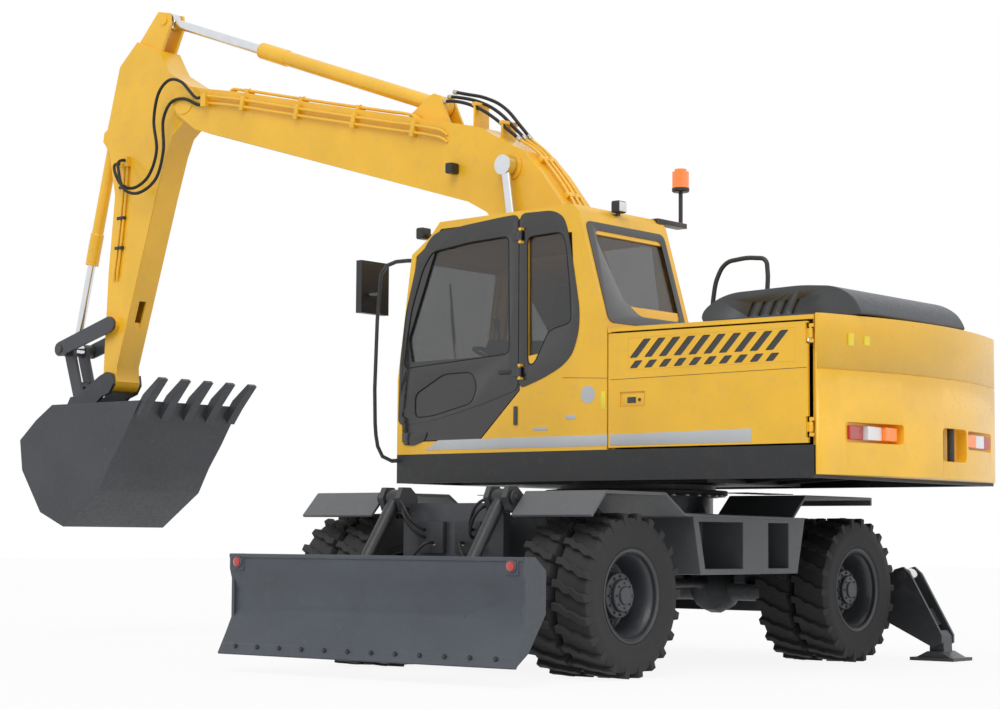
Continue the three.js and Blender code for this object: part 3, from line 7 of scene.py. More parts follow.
import bpy
from bpy.props import FloatProperty, FloatVectorProperty, IntProperty, PointerProperty
from mathutils import Matrix, Vector
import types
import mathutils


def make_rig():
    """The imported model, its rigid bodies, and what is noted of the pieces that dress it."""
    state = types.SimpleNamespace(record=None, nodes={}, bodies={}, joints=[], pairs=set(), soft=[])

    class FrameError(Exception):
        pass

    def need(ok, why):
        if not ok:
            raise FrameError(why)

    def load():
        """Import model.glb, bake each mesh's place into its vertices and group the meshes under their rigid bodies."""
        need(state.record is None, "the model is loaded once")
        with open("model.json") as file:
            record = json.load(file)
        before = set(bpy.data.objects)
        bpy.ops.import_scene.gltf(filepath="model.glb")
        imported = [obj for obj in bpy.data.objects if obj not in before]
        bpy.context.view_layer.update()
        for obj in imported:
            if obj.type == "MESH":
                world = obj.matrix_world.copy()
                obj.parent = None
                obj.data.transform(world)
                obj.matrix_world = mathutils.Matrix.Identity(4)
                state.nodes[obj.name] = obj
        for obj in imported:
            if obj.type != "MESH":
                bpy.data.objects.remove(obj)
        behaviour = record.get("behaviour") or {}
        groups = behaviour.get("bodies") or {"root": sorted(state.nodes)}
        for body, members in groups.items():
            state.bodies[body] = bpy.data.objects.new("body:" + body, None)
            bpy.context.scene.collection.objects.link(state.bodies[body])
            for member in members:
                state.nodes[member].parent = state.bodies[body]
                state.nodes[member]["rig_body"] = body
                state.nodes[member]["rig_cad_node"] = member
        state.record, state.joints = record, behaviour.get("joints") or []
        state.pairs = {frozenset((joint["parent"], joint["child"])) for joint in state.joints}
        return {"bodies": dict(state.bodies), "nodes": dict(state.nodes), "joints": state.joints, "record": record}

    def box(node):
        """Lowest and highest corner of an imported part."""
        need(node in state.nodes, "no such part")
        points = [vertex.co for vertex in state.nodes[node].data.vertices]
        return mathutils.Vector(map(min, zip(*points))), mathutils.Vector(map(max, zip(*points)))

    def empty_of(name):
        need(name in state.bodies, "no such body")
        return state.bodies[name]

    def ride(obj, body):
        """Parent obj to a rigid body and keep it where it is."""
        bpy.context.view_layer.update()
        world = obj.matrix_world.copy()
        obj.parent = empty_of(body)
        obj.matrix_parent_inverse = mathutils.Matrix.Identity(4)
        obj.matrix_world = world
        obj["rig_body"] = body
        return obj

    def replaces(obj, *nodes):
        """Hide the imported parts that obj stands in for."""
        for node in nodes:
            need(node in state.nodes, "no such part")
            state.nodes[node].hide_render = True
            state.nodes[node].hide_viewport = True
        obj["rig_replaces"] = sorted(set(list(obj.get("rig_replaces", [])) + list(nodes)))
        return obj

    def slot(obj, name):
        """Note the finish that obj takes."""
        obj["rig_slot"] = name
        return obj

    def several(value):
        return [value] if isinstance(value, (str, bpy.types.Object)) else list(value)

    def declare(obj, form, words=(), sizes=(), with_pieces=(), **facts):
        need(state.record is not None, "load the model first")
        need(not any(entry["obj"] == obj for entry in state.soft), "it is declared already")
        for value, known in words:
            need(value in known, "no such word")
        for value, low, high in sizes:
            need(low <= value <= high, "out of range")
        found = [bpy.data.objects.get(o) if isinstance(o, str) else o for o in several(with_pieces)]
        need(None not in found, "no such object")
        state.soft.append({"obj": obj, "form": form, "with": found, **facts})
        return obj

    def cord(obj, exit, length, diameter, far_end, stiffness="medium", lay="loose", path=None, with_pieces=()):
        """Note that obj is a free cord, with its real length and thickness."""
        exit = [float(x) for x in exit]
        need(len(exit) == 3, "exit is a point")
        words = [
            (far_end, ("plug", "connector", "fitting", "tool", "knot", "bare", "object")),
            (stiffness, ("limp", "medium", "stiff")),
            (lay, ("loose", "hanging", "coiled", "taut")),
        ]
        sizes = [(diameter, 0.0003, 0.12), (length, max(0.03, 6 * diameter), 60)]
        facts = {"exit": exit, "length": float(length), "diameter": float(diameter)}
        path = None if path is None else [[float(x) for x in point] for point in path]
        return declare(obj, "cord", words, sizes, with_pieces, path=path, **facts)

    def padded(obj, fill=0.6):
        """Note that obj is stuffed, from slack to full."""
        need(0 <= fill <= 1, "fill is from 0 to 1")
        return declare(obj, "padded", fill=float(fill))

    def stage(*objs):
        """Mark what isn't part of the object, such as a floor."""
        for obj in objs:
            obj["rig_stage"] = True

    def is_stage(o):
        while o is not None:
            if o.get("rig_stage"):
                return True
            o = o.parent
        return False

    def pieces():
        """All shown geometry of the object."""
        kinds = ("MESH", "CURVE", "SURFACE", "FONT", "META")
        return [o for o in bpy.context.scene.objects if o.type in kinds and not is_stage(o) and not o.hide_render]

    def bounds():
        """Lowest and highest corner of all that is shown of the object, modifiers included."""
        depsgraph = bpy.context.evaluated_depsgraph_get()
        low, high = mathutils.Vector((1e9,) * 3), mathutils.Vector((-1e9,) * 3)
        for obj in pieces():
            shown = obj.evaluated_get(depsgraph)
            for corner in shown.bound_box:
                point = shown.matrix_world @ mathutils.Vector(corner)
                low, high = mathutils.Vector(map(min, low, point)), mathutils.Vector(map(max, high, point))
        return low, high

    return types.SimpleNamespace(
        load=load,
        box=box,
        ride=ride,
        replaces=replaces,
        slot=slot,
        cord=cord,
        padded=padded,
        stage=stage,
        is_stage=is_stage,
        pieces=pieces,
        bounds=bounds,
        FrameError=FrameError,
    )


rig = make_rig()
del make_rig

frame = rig.load()
NODES = frame["nodes"]
JOINTS = {j["name"]: j for j in frame["joints"]}
CAD_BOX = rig.bounds()

bl_info = {
    "name": "Wheeled excavator",
    "version": (1, 0, 0),
    "blender": (4, 5, 0),
    "location": "View3D > Sidebar > Excavator",
    "description": "Builds the finish of a wheeled excavator on its frame",
    "category": "Object",
}

# Two frames that the pieces are drawn in, both with their origin under the slew ring. The undercarriage looks
# along +X, and the house, drawn looking along +X too, stands turned to the right.
SWING = Vector((JOINTS["slew"]["pos_m"][0], JOINTS["slew"]["pos_m"][1], 0))
BASE = Matrix.Translation(SWING)
HOUSE = BASE @ Matrix.Rotation(-pi / 2, 4, "Z")
EQUIP_Y = -0.15
SIDES = (("left", 1), ("right", -1))


def pivot(name, turn=HOUSE):
    """A joint's place, in the frame that the pieces are drawn in."""
    return turn.inverted() @ Vector(JOINTS[name]["pos_m"])


# ---------------------------------------------------------------- shader maths
class Sock:
    """An output socket that adds Math nodes when it is used in a sum."""

    def __init__(self, shader, out):
        self.shader, self.out = shader, out

    def calc(self, operation, a, b):
        return self.shader.node("ShaderNodeMath", {"operation": operation}, {0: a, 1: b})

    def __add__(self, other):
        return self.calc("ADD", self, other)

    def __mul__(self, other):
        return self.calc("MULTIPLY", self, other)

    __radd__ = __add__
    __rmul__ = __mul__


class Shader:
    """One material's node tree."""

    def __init__(self, name, **fixed):
        self.material = bpy.data.materials.new(name)
        self.material.use_nodes = True
        self.tree = self.material.node_tree
        self.surface = self.tree.nodes["Principled BSDF"]
        self.put(self.surface, fixed)

    def put(self, node, values):
        for key, value in values.items():
            socket = node.inputs[key if isinstance(key, int) else key.replace("_", " ")]
            if isinstance(value, Sock):
                self.tree.links.new(value.out, socket)
            elif socket.type == "RGBA" and len(value) == 3:
                socket.default_value = (*value, 1)
            else:
                socket.default_value = value

    def node(self, kind, settings, values, out=0):
        made = self.tree.nodes.new(kind)
        for key, value in settings.items():
            setattr(made, key, value)
        self.put(made, values)
        return Sock(self, made.outputs[out])

    def place(self):
        return self.node("ShaderNodeTexCoord", {}, {}, "Object")

    def noise(self, scale, detail=3, rough=0.55):
        return self.node("ShaderNodeTexNoise", {}, {"Vector": self.place(), "Scale": scale, "Detail": detail,
                                                    "Roughness": rough}, "Fac")

    def spread(self, value, low, high, bottom=0.0, top=1.0):
        """The value from low to high, stretched to run from bottom to top and held there."""
        return self.node("ShaderNodeMapRange", {}, {"Value": value, "From Min": low, "From Max": high,
                                                    "To Min": bottom, "To Max": top})

    def mix(self, factor, a, b):
        made = self.tree.nodes.new("ShaderNodeMix")
        made.data_type = "RGBA"
        self.put(made, {0: factor, 6: a, 7: b})
        return Sock(self, made.outputs[2])

    def bump(self, height, strength, distance):
        return self.node("ShaderNodeBump", {}, {"Height": height, "Strength": strength, "Distance": distance},
                         "Normal")

    def finish(self, **values):
        self.put(self.surface, values)
        return self.material


def tone(colour, factor):
    """The colour, lighter or darker by the factor."""
    return tuple(c * factor for c in colour)


MAT = {}


def enamel(name, colour, gloss, dust, coat=0.25, grain=260):
    """Sprayed paint: a fine orange peel, a slow drift of tone and a little dust where the air left it."""
    s = Shader(name, Coat_Weight=coat, Coat_Roughness=0.12, Specular_IOR_Level=0.5)
    drift = s.spread(s.noise(1.7, 2), 0.35, 0.65)
    smut = s.spread(s.noise(9, 5, 0.7), 0.52, 0.75)
    base = s.mix(drift, tone(colour, 0.94), tone(colour, 1.05))
    base = s.mix(smut * 0.22, base, dust)
    peel = s.noise(grain, 2)
    return s.finish(Base_Color=base,
                    Roughness=s.spread(s.noise(38, 4), 0.3, 0.7, gloss, gloss + 0.12) + smut * 0.12,
                    Normal=s.bump(peel, 0.06, 0.0006))


def cast(name, colour, gloss):
    """Rough steel under thick paint, scuffed where soil rubs it."""
    s = Shader(name, Specular_IOR_Level=0.45)
    scuff = s.spread(s.noise(14, 6, 0.75), 0.56, 0.68)
    drag = s.node("ShaderNodeTexNoise", {}, {"Vector": s.node("ShaderNodeMapping", {}, {
        "Vector": s.place(), "Scale": (6, 6, 60)}), "Scale": 3, "Detail": 4}, "Fac")
    worn = scuff * s.spread(drag, 0.45, 0.65)
    base = s.mix(worn * 0.5, colour, (0.16, 0.16, 0.17))
    base = s.mix(s.spread(s.noise(2.2, 2), 0.35, 0.7) * 0.35, base, tone(colour, 1.5))
    return s.finish(Base_Color=base, Roughness=s.spread(s.noise(30, 5), 0.3, 0.7, gloss, gloss + 0.18),
                    Metallic=worn * 0.3, Normal=s.bump(s.noise(120, 4), 0.14, 0.0012))


def rubber(name, colour, rough, grit):
    """Rubber, paler where dust settles."""
    s = Shader(name, Specular_IOR_Level=0.35)
    dusty = s.spread(s.noise(7, 5, 0.65), 0.45, 0.75)
    base = s.mix(dusty * 0.4, colour, tone(colour, 2.1))
    return s.finish(Base_Color=base, Roughness=s.spread(dusty, 0, 1, rough, min(rough + 0.15, 1)),
                    Normal=s.bump(s.noise(grit, 3), 0.18, 0.001))


def polished(name, colour, rough):
    """Bright metal with fine rings."""
    s = Shader(name, Metallic=1.0)
    rings = s.node("ShaderNodeTexNoise", {}, {"Vector": s.place(), "Scale": 90, "Detail": 2}, "Fac")
    return s.finish(Base_Color=s.mix(s.spread(s.noise(12, 4), 0.4, 0.7) * 0.25, colour, tone(colour, 0.75)),
                    Roughness=s.spread(rings, 0.3, 0.7, rough, rough + 0.1))


def pane(name, colour, alpha):
    """Tinted glass with a thin film of dust."""
    s = Shader(name, Coat_Weight=1.0, Coat_Roughness=0.02, Alpha=alpha, Specular_IOR_Level=0.6)
    film = s.spread(s.noise(5, 4), 0.4, 0.8)
    return s.finish(Base_Color=s.mix(film * 0.2, colour, tone(colour, 1.6)),
                    Roughness=s.spread(film, 0, 1, 0.02, 0.07))


def cloth(name, colour):
    """Woven cover."""
    s = Shader(name, Sheen_Weight=0.3)
    weave = s.node("ShaderNodeTexVoronoi", {}, {"Vector": s.place(), "Scale": 420})
    return s.finish(Base_Color=s.mix(s.spread(weave, 0.1, 0.6), tone(colour, 1.6), colour), Roughness=0.9,
                    Normal=s.bump(weave, 0.4, 0.001))


def lens(name, colour, glow):
    """A ribbed lamp lens."""
    s = Shader(name, Coat_Weight=1.0, Emission_Color=colour, Emission_Strength=glow)
    ribs = s.node("ShaderNodeTexWave", {}, {"Vector": s.place(), "Scale": 60})
    return s.finish(Base_Color=s.mix(ribs * 0.4, colour, tone(colour, 0.6)), Roughness=0.12,
                    Normal=s.bump(ribs, 0.25, 0.002))


def mix_materials(opts):
    """Every material, by the name of its finish."""
    MAT.update(
        yellow=enamel("yellow enamel", opts.paint, 0.26, (0.52, 0.36, 0.16), 0.3),
        dark=enamel("dark grey enamel", opts.dark, 0.36, (0.16, 0.15, 0.14), 0.1, 160),
        gloss=enamel("black gloss", (0.012, 0.012, 0.014), 0.12, (0.06, 0.06, 0.06), 0.6),
        black=enamel("black satin", (0.016, 0.017, 0.019), 0.36, (0.09, 0.085, 0.08), 0.05, 200),
        hood=enamel("slate hood", (0.045, 0.053, 0.064), 0.4, (0.12, 0.12, 0.12), 0.1, 160),
        fender=enamel("fender grey", (0.1, 0.106, 0.114), 0.4, (0.2, 0.19, 0.17), 0.1, 160),
        cast=cast("bucket steel", tone(opts.dark, 0.95), 0.4),
        blade=cast("blade steel", (0.06, 0.07, 0.084), 0.38),
        axle=cast("axle casting", (0.03, 0.032, 0.036), 0.48),
        tyre=rubber("tyre rubber", (0.032, 0.032, 0.034), 0.72, 300),
        hose=rubber("hose cover", (0.012, 0.012, 0.013), 0.42, 500),
        seal=rubber("window seal", (0.01, 0.01, 0.011), 0.6, 500),
        chrome=polished("hard chrome", (0.72, 0.74, 0.77), 0.08),
        steel=polished("zinc fitting", (0.55, 0.53, 0.46), 0.32),
        silver=enamel("silver band", (0.5, 0.52, 0.54), 0.3, (0.4, 0.4, 0.4), 0.2),
        glass=pane("tinted glass", (0.02, 0.023, 0.026), 0.5),
        cloth=cloth("seat cloth", (0.03, 0.03, 0.034)),
        trim=rubber("cab trim", (0.035, 0.036, 0.04), 0.6, 420),
        orange=lens("orange lens", (0.95, 0.22, 0.01), 0.25),
        red=lens("red lens", (0.5, 0.012, 0.01), 0.05),
        clear=lens("lamp glass", (0.8, 0.82, 0.85), 0.1),
        label=enamel("label yellow", (0.9, 0.72, 0.05), 0.35, (0.5, 0.45, 0.2), 0.1),
    )


# ---------------------------------------------------------------- modelling
WELD_REACH = 0.00002


def active():
    """The object that was made or picked last."""
    return bpy.context.view_layer.objects.active


def alone(obj):
    """Makes the object the only one selected, and active."""
    bpy.ops.object.select_all(action="DESELECT")
    obj.select_set(True)
    bpy.context.view_layer.objects.active = obj
    return obj


def join(*objs):
    """The objects as one. A single object stays as it is."""
    alone(objs[0])
    for obj in objs[1:]:
        obj.select_set(True)
    if len(objs) > 1:
        bpy.ops.object.join()
    return active()


def linked(name, data):
    """A new object that holds the data, active and the only one selected."""
    obj = bpy.data.objects.new(name, data)
    bpy.context.collection.objects.link(obj)
    return alone(obj)


def duplicate(obj, turn):
    """A copy of the object, its mesh moved by the matrix."""
    twin = obj.copy()
    twin.data = obj.data.copy()
    bpy.context.collection.objects.link(twin)
    twin.data.transform(turn)
    return twin


def moved(obj, turn):
    """The object, its mesh moved by the matrix."""
    obj.data.transform(turn)
    return obj


def in_edit(obj, *steps):
    """Runs mesh operators in edit mode, each with its settings and with the whole mesh selected."""
    alone(obj)
    bpy.ops.object.mode_set(mode="EDIT")
    for step, settings in steps:
        bpy.ops.mesh.select_all(action="SELECT")
        step(**settings)
    bpy.ops.object.mode_set(mode="OBJECT")
    return obj


def modify(obj, kind, **settings):
    """Adds a modifier and applies it."""
    alone(obj)
    made = obj.modifiers.new(kind.title(), kind)
    for key, value in settings.items():
        setattr(made, key, value)
    bpy.ops.object.modifier_apply(modifier=made.name)
    return obj


def soften(obj, width, segments=2, angle=35):
    """Rounds the edges that are sharper than the angle, and shades the rest smooth."""
    if width:
        modify(obj, "BEVEL", width=width, segments=segments, limit_method="ANGLE", angle_limit=radians(angle),
               use_clamp_overlap=True)
    alone(obj)
    bpy.ops.object.shade_smooth_by_angle(angle=radians(angle))
    return obj


def block(lo, hi, round_off=0.004, segments=2):
    """A box from one corner to the opposite one."""
    mid = [(a + b) / 2 for a, b in zip(lo, hi)]
    bpy.ops.mesh.primitive_cube_add(size=1, location=mid)
    obj = active()
    obj.scale = [abs(b - a) for a, b in zip(lo, hi)]
    bpy.ops.object.transform_apply(location=True, rotation=True, scale=True)
    return soften(obj, round_off, segments)


def rod(a, b, radius, sides=28, round_off=0.0, taper=1.0):
    """A round bar from a to b, its far end's radius the taper's share of the near end's."""
    a, b = Vector(a), Vector(b)
    turn = (b - a).to_track_quat("Z", "Y").to_euler()
    bpy.ops.mesh.primitive_cone_add(vertices=sides, radius1=radius, radius2=radius * taper,
                                    depth=(b - a).length, location=(a + b) / 2, rotation=turn)
    bpy.ops.object.transform_apply(location=True, rotation=True, scale=True)
    return soften(active(), round_off, 2, 40)


def sheet(points, lo, hi, axis="y", round_off=0.003):
    """A flat outline given a thickness along an axis. Its two numbers are the other two axes in order."""
    order = {"x": lambda p, q, t: (t, p, q), "y": lambda p, q, t: (p, t, q),
             "z": lambda p, q, t: (p, q, t)}[axis]
    mesh = bpy.data.meshes.new("outline")
    mesh.from_pydata([order(p, q, lo) for p, q in points], [], [list(range(len(points)))])
    obj = in_edit(
        linked("outline", mesh),
        (bpy.ops.mesh.extrude_region_move, {"TRANSFORM_OT_translate": {"value": order(0, 0, hi - lo)}}),
        (bpy.ops.mesh.normals_make_consistent, {"inside": False}),
    )
    return soften(obj, round_off)


def turned(profile, centre, steps=64, axis="y"):
    """A profile of (radius, place along the axis), spun about an axis through the centre."""
    line = {"y": lambda r, t: (r, t, 0), "x": lambda r, t: (t, r, 0), "z": lambda r, t: (r, 0, t)}[axis]
    mesh = bpy.data.meshes.new("profile")
    mesh.from_pydata([line(*p) for p in profile], [(i, i + 1) for i in range(len(profile) - 1)], [])
    way = {"x": (1, 0, 0), "y": (0, 1, 0), "z": (0, 0, 1)}[axis]
    obj = in_edit(
        linked("profile", mesh),
        (bpy.ops.mesh.spin, {"steps": steps, "angle": 2 * pi, "center": (0, 0, 0), "axis": way}),
        (bpy.ops.mesh.remove_doubles, {"threshold": WELD_REACH}),
        (bpy.ops.mesh.normals_make_consistent, {"inside": False}),
    )
    obj.location = centre
    bpy.ops.object.transform_apply(location=True, rotation=False, scale=False)
    bpy.ops.object.shade_smooth_by_angle(angle=radians(32))
    return obj


def line_tube(points, radius, smooth=True, sides=4):
    """A hose or pipe through the points, as a mesh."""
    curve = bpy.data.curves.new("line", "CURVE")
    curve.dimensions = "3D"
    curve.bevel_depth, curve.bevel_resolution, curve.use_fill_caps = radius, sides, True
    curve.resolution_u = 6
    spline = curve.splines.new("BEZIER" if smooth else "POLY")
    if smooth:
        spline.bezier_points.add(len(points) - 1)
        for knot, p in zip(spline.bezier_points, points):
            knot.co, knot.handle_left_type, knot.handle_right_type = p, "AUTO", "AUTO"
    else:
        spline.points.add(len(points) - 1)
        for knot, p in zip(spline.points, points):
            knot.co = (*p, 1)
    linked("line", curve)
    bpy.ops.object.convert(target="MESH")
    bpy.ops.object.shade_smooth_by_angle(angle=radians(50))
    return active()


FINISHES_OF_SLOT = {
    "yellow_paint": "yellow label",
    "grey_paint": "dark fender cast blade silver",
    "black_paint": "gloss black hood axle",
    "tyre": "tyre seal",
    "hose": "hose",
    "rod": "chrome steel",
    "glass": "glass clear",
    "seat": "cloth trim",
    "beacon": "orange red",
}
SLOT = {finish: slot for slot, finishes in FINISHES_OF_SLOT.items() for finish in finishes.split()}


def put(obj, name, body, finish, turn=HOUSE, replaces=()):
    """Puts a finished piece in its place on its body, with its origin at the frame's."""
    alone(obj)
    obj.name = name
    obj.data.name = name
    obj.matrix_world = turn @ obj.matrix_world
    bpy.ops.object.transform_apply(location=True, rotation=True, scale=True)
    obj.data.materials.clear()
    obj.data.materials.append(MAT[finish])
    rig.ride(obj, body)
    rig.slot(obj, SLOT[finish])
    if replaces:
        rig.replaces(obj, *replaces)
    return obj


def dress(node, finish, width=0.0, angle=30):
    """Finishes a CAD node: its material, and softened edges on its welded faces."""
    obj = NODES[node]
    obj.data.materials.clear()
    obj.data.materials.append(MAT[finish])
    if width:
        weld = obj.modifiers.new("Weld", "WELD")
        weld.merge_threshold = 0.00003
        flat = obj.modifiers.new("Planar", "DECIMATE")
        flat.decimate_type, flat.angle_limit = "DISSOLVE", radians(2)
        edge = obj.modifiers.new("Edge", "BEVEL")
        edge.width, edge.segments, edge.limit_method = width, 2, "ANGLE"
        edge.angle_limit = radians(angle)
        even = obj.modifiers.new("Even", "WEIGHTED_NORMAL")
        even.keep_sharp = True
    alone(obj)
    bpy.ops.object.shade_smooth_by_angle(angle=radians(angle))
    return obj


def scatter(obj, turns):
    """Copies of the object, one for each matrix, joined."""
    out = [duplicate(obj, turn) for turn in turns]
    bpy.data.objects.remove(obj)
    return join(*out)


def ring_of(obj, count, axis="Y", start=0.0):
    """The object and its copies, evenly round an axis through the origin."""
    return scatter(obj, [Matrix.Rotation(start + 2 * pi * i / count, 4, axis) for i in range(count)])


def bolt_ring(radius, height, spot, count, axis="Y"):
    """Bolts that point along the axis, evenly round it, the first of them at the spot."""
    return ring_of(moved(bolt(radius, height, axis.lower()), Matrix.Translation(spot)), count, axis)


def bolt(radius, height, axis="y"):
    """A hexagon head on its washer, standing on the origin and pointing along the axis."""
    head = rod((0, 0, 0.3 * height), (0, 0, height), radius, 6, radius * 0.12)
    washer = rod((0, 0, 0), (0, 0, 0.3 * height), radius * 1.25, 14)
    quarter = {"x": Matrix.Rotation(pi / 2, 4, "Y"), "y": Matrix.Rotation(-pi / 2, 4, "X"),
               "z": Matrix.Identity(4)}
    return moved(join(head, washer), quarter[axis])


def rounded(points, radius, steps=5):
    """The outline with each corner turned into a curve."""
    out = []
    count = len(points)
    for i in range(count):
        a, b, c = (Vector(points[(i + k) % count]) for k in (-1, 0, 1))
        near, far = (b.lerp(other, min(radius / max((other - b).length, 1e-6), 0.48)) for other in (a, c))
        for k in range(steps + 1):
            t = k / steps
            out.append(tuple(near * (1 - t) ** 2 + b * 2 * t * (1 - t) + far * t ** 2))
    return out


def cut(obj, *tools):
    """Takes the tools out of the object."""
    tool = join(*tools)
    modify(obj, "BOOLEAN", operation="DIFFERENCE", object=tool, solver="EXACT")
    bpy.data.objects.remove(tool)
    return obj


def crown(obj, width, segments=4):
    """Wide rounding on the object's edges, with its large faces kept flat in the light."""
    soften(obj, width, segments, 30)
    return modify(obj, "WEIGHTED_NORMAL", keep_sharp=False)


def bolts(spots, radius, height, axis="y"):
    """A bolt at each spot."""
    return scatter(bolt(radius, height, axis), [Matrix.Translation(p) for p in spots])


# ---------------------------------------------------------------- sizes and colours
class ExcavatorSizes(bpy.types.PropertyGroup):
    paint: FloatVectorProperty(name="Main paint", description="Colour of the house, boom and arm",
                               subtype="COLOR", default=(0.92, 0.52, 0.024), min=0, max=1)
    dark: FloatVectorProperty(name="Dark paint", description="Colour of the undercarriage, blade and bucket",
                              subtype="COLOR", default=(0.046, 0.05, 0.058), min=0, max=1)
    edge: FloatProperty(name="Plate edge", description="How far the edges of thick plates are rounded",
                        default=0.006, min=0, max=0.02, unit="LENGTH")
    lugs: IntProperty(name="Tread lugs", description="Lugs along each side of one tyre", default=22, min=12,
                      max=30)
    lug_height: FloatProperty(name="Lug height", description="Depth of the tread", default=0.034, min=0.01,
                              max=0.05, unit="LENGTH")
    studs: IntProperty(name="Wheel studs", description="Nuts round each hub", default=10, min=6, max=16)
    slots: IntProperty(name="Louvre slots", description="Slots in each row of the side door", default=10,
                       min=4, max=20)
    slats: IntProperty(name="Hood slats", description="Slots across the engine hood", default=13, min=4,
                       max=24)
    hose: FloatProperty(name="Hose radius", description="Radius of the hydraulic hoses", default=0.014,
                        min=0.006, max=0.02, unit="LENGTH")


# ---------------------------------------------------------------- stage and cords
CAMERA_PLACE = (12.6608, 11.4841, 0.8732)
CAMERA_HEADING = (-0.77473, -0.6323)
CAMERA_RISE = radians(4.776)
CAMERA_ROLL = 0.0069
CAMERA_LENS = 79.738
DIRECT_RAYS = ("Is Camera Ray", "Is Glossy Ray", "Is Transmission Ray")
FLOOR_GLOW = 0.9
SKY_LIGHT = 0.62
SUNS = (("key", (0.75, 0.35, 0.95), 1.15, 40), ("fill", (-0.25, 1.0, 0.35), 0.35, 60))


class EXCAVATOR_OT_stage(bpy.types.Operator):
    """Pale floor, soft light and the camera."""

    bl_idname = "excavator.stage"
    bl_label = "Stage"

    def execute(self, context):
        data = bpy.data.cameras.new("camera")
        data.sensor_width, data.lens = 36, CAMERA_LENS
        data.clip_end = 300
        camera = bpy.data.objects.new("camera", data)
        context.collection.objects.link(camera)
        ahead = Vector((*(part * cos(CAMERA_RISE) for part in CAMERA_HEADING), sin(CAMERA_RISE)))
        aim = ahead.to_track_quat("-Z", "Y").to_matrix().to_4x4()
        camera.matrix_world = Matrix.Translation(CAMERA_PLACE) @ aim @ Matrix.Rotation(CAMERA_ROLL, 4, "Z")
        context.scene.camera = camera
        bpy.ops.mesh.primitive_plane_add(size=120, location=(0, 0, 0))
        floor = active()
        floor.name = "floor"
        s = Shader("pale floor", Specular_IOR_Level=0.1, Roughness=0.9)
        s.put(s.surface, {"Base Color": s.mix(s.noise(0.4, 2) * 0.1, (0.86, 0.86, 0.86), (0.84, 0.84, 0.84))})
        seen = s.tree.nodes.new("ShaderNodeLightPath")
        white = s.tree.nodes.new("ShaderNodeEmission")
        blend = s.tree.nodes.new("ShaderNodeMixShader")
        camera_ray, glossy_ray, glass_ray = (Sock(s, seen.outputs[name]) for name in DIRECT_RAYS)
        s.put(blend, {0: (camera_ray + glossy_ray + glass_ray) * FLOOR_GLOW})
        s.tree.links.new(s.surface.outputs[0], blend.inputs[1])
        s.tree.links.new(white.outputs[0], blend.inputs[2])
        s.tree.links.new(blend.outputs[0], s.tree.nodes["Material Output"].inputs[0])
        floor.data.materials.append(s.material)
        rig.stage(floor)
        world = bpy.data.worlds.new("pale world")
        world.use_nodes = True
        tree = world.node_tree
        sky = tree.nodes["Background"]
        path = tree.nodes.new("ShaderNodeLightPath")
        direct = path.outputs[DIRECT_RAYS[0]]
        for ray in DIRECT_RAYS[1:]:
            either = tree.nodes.new("ShaderNodeMath")
            either.operation = "MAXIMUM"
            tree.links.new(direct, either.inputs[0])
            tree.links.new(path.outputs[ray], either.inputs[1])
            direct = either.outputs[0]
        level = tree.nodes.new("ShaderNodeMapRange")
        tree.links.new(direct, level.inputs["Value"])
        level.inputs["To Min"].default_value, level.inputs["To Max"].default_value = SKY_LIGHT, 1.0
        tree.links.new(level.outputs[0], sky.inputs["Strength"])
        sky.inputs["Color"].default_value = (1, 1, 1, 1)
        context.scene.world = world
        for name, way, power, spread in SUNS:
            lamp = bpy.data.lights.new(name, "SUN")
            lamp.energy, lamp.angle = power, radians(spread)
            obj = bpy.data.objects.new(name, lamp)
            obj.rotation_euler = Vector(way).to_track_quat("Z", "Y").to_euler()
            context.collection.objects.link(obj)
        context.scene.view_settings.view_transform = "Standard"
        return {"FINISHED"}


def smooth_line(points, steps):
    """Even steps along a centripetal curve through the points."""
    pts = [Vector(p) for p in points]
    pts = [2 * pts[0] - pts[1], *pts, 2 * pts[-1] - pts[-2]]
    fine = []
    for i in range(1, len(pts) - 2):
        a, b, c, d = pts[i - 1:i + 3]
        t1, t2, t3 = (max((q - p).length, 1e-9) ** 0.5 for p, q in ((a, b), (b, c), (c, d)))
        m1 = ((b - a) / t1 - (c - a) / (t1 + t2) + (c - b) / t2) * t2
        m2 = ((c - b) / t2 - (d - b) / (t2 + t3) + (d - c) / t3) * t2
        for k in range(24):
            t = k / 24
            fine.append(b * (2 * t ** 3 - 3 * t ** 2 + 1) + m1 * (t ** 3 - 2 * t ** 2 + t)
                        + c * (-2 * t ** 3 + 3 * t ** 2) + m2 * (t ** 3 - t ** 2))
    fine.append(pts[-2])
    far = [0.0]
    for p, q in zip(fine, fine[1:]):
        far.append(far[-1] + (q - p).length)
    out, i = [], 0
    for k in range(steps + 1):
        at = far[-1] * k / steps
        while i < len(far) - 2 and far[i + 1] < at:
            i += 1
        out.append(fine[i].lerp(fine[i + 1], (at - far[i]) / max(far[i + 1] - far[i], 1e-9)))
    return out, far[-1]


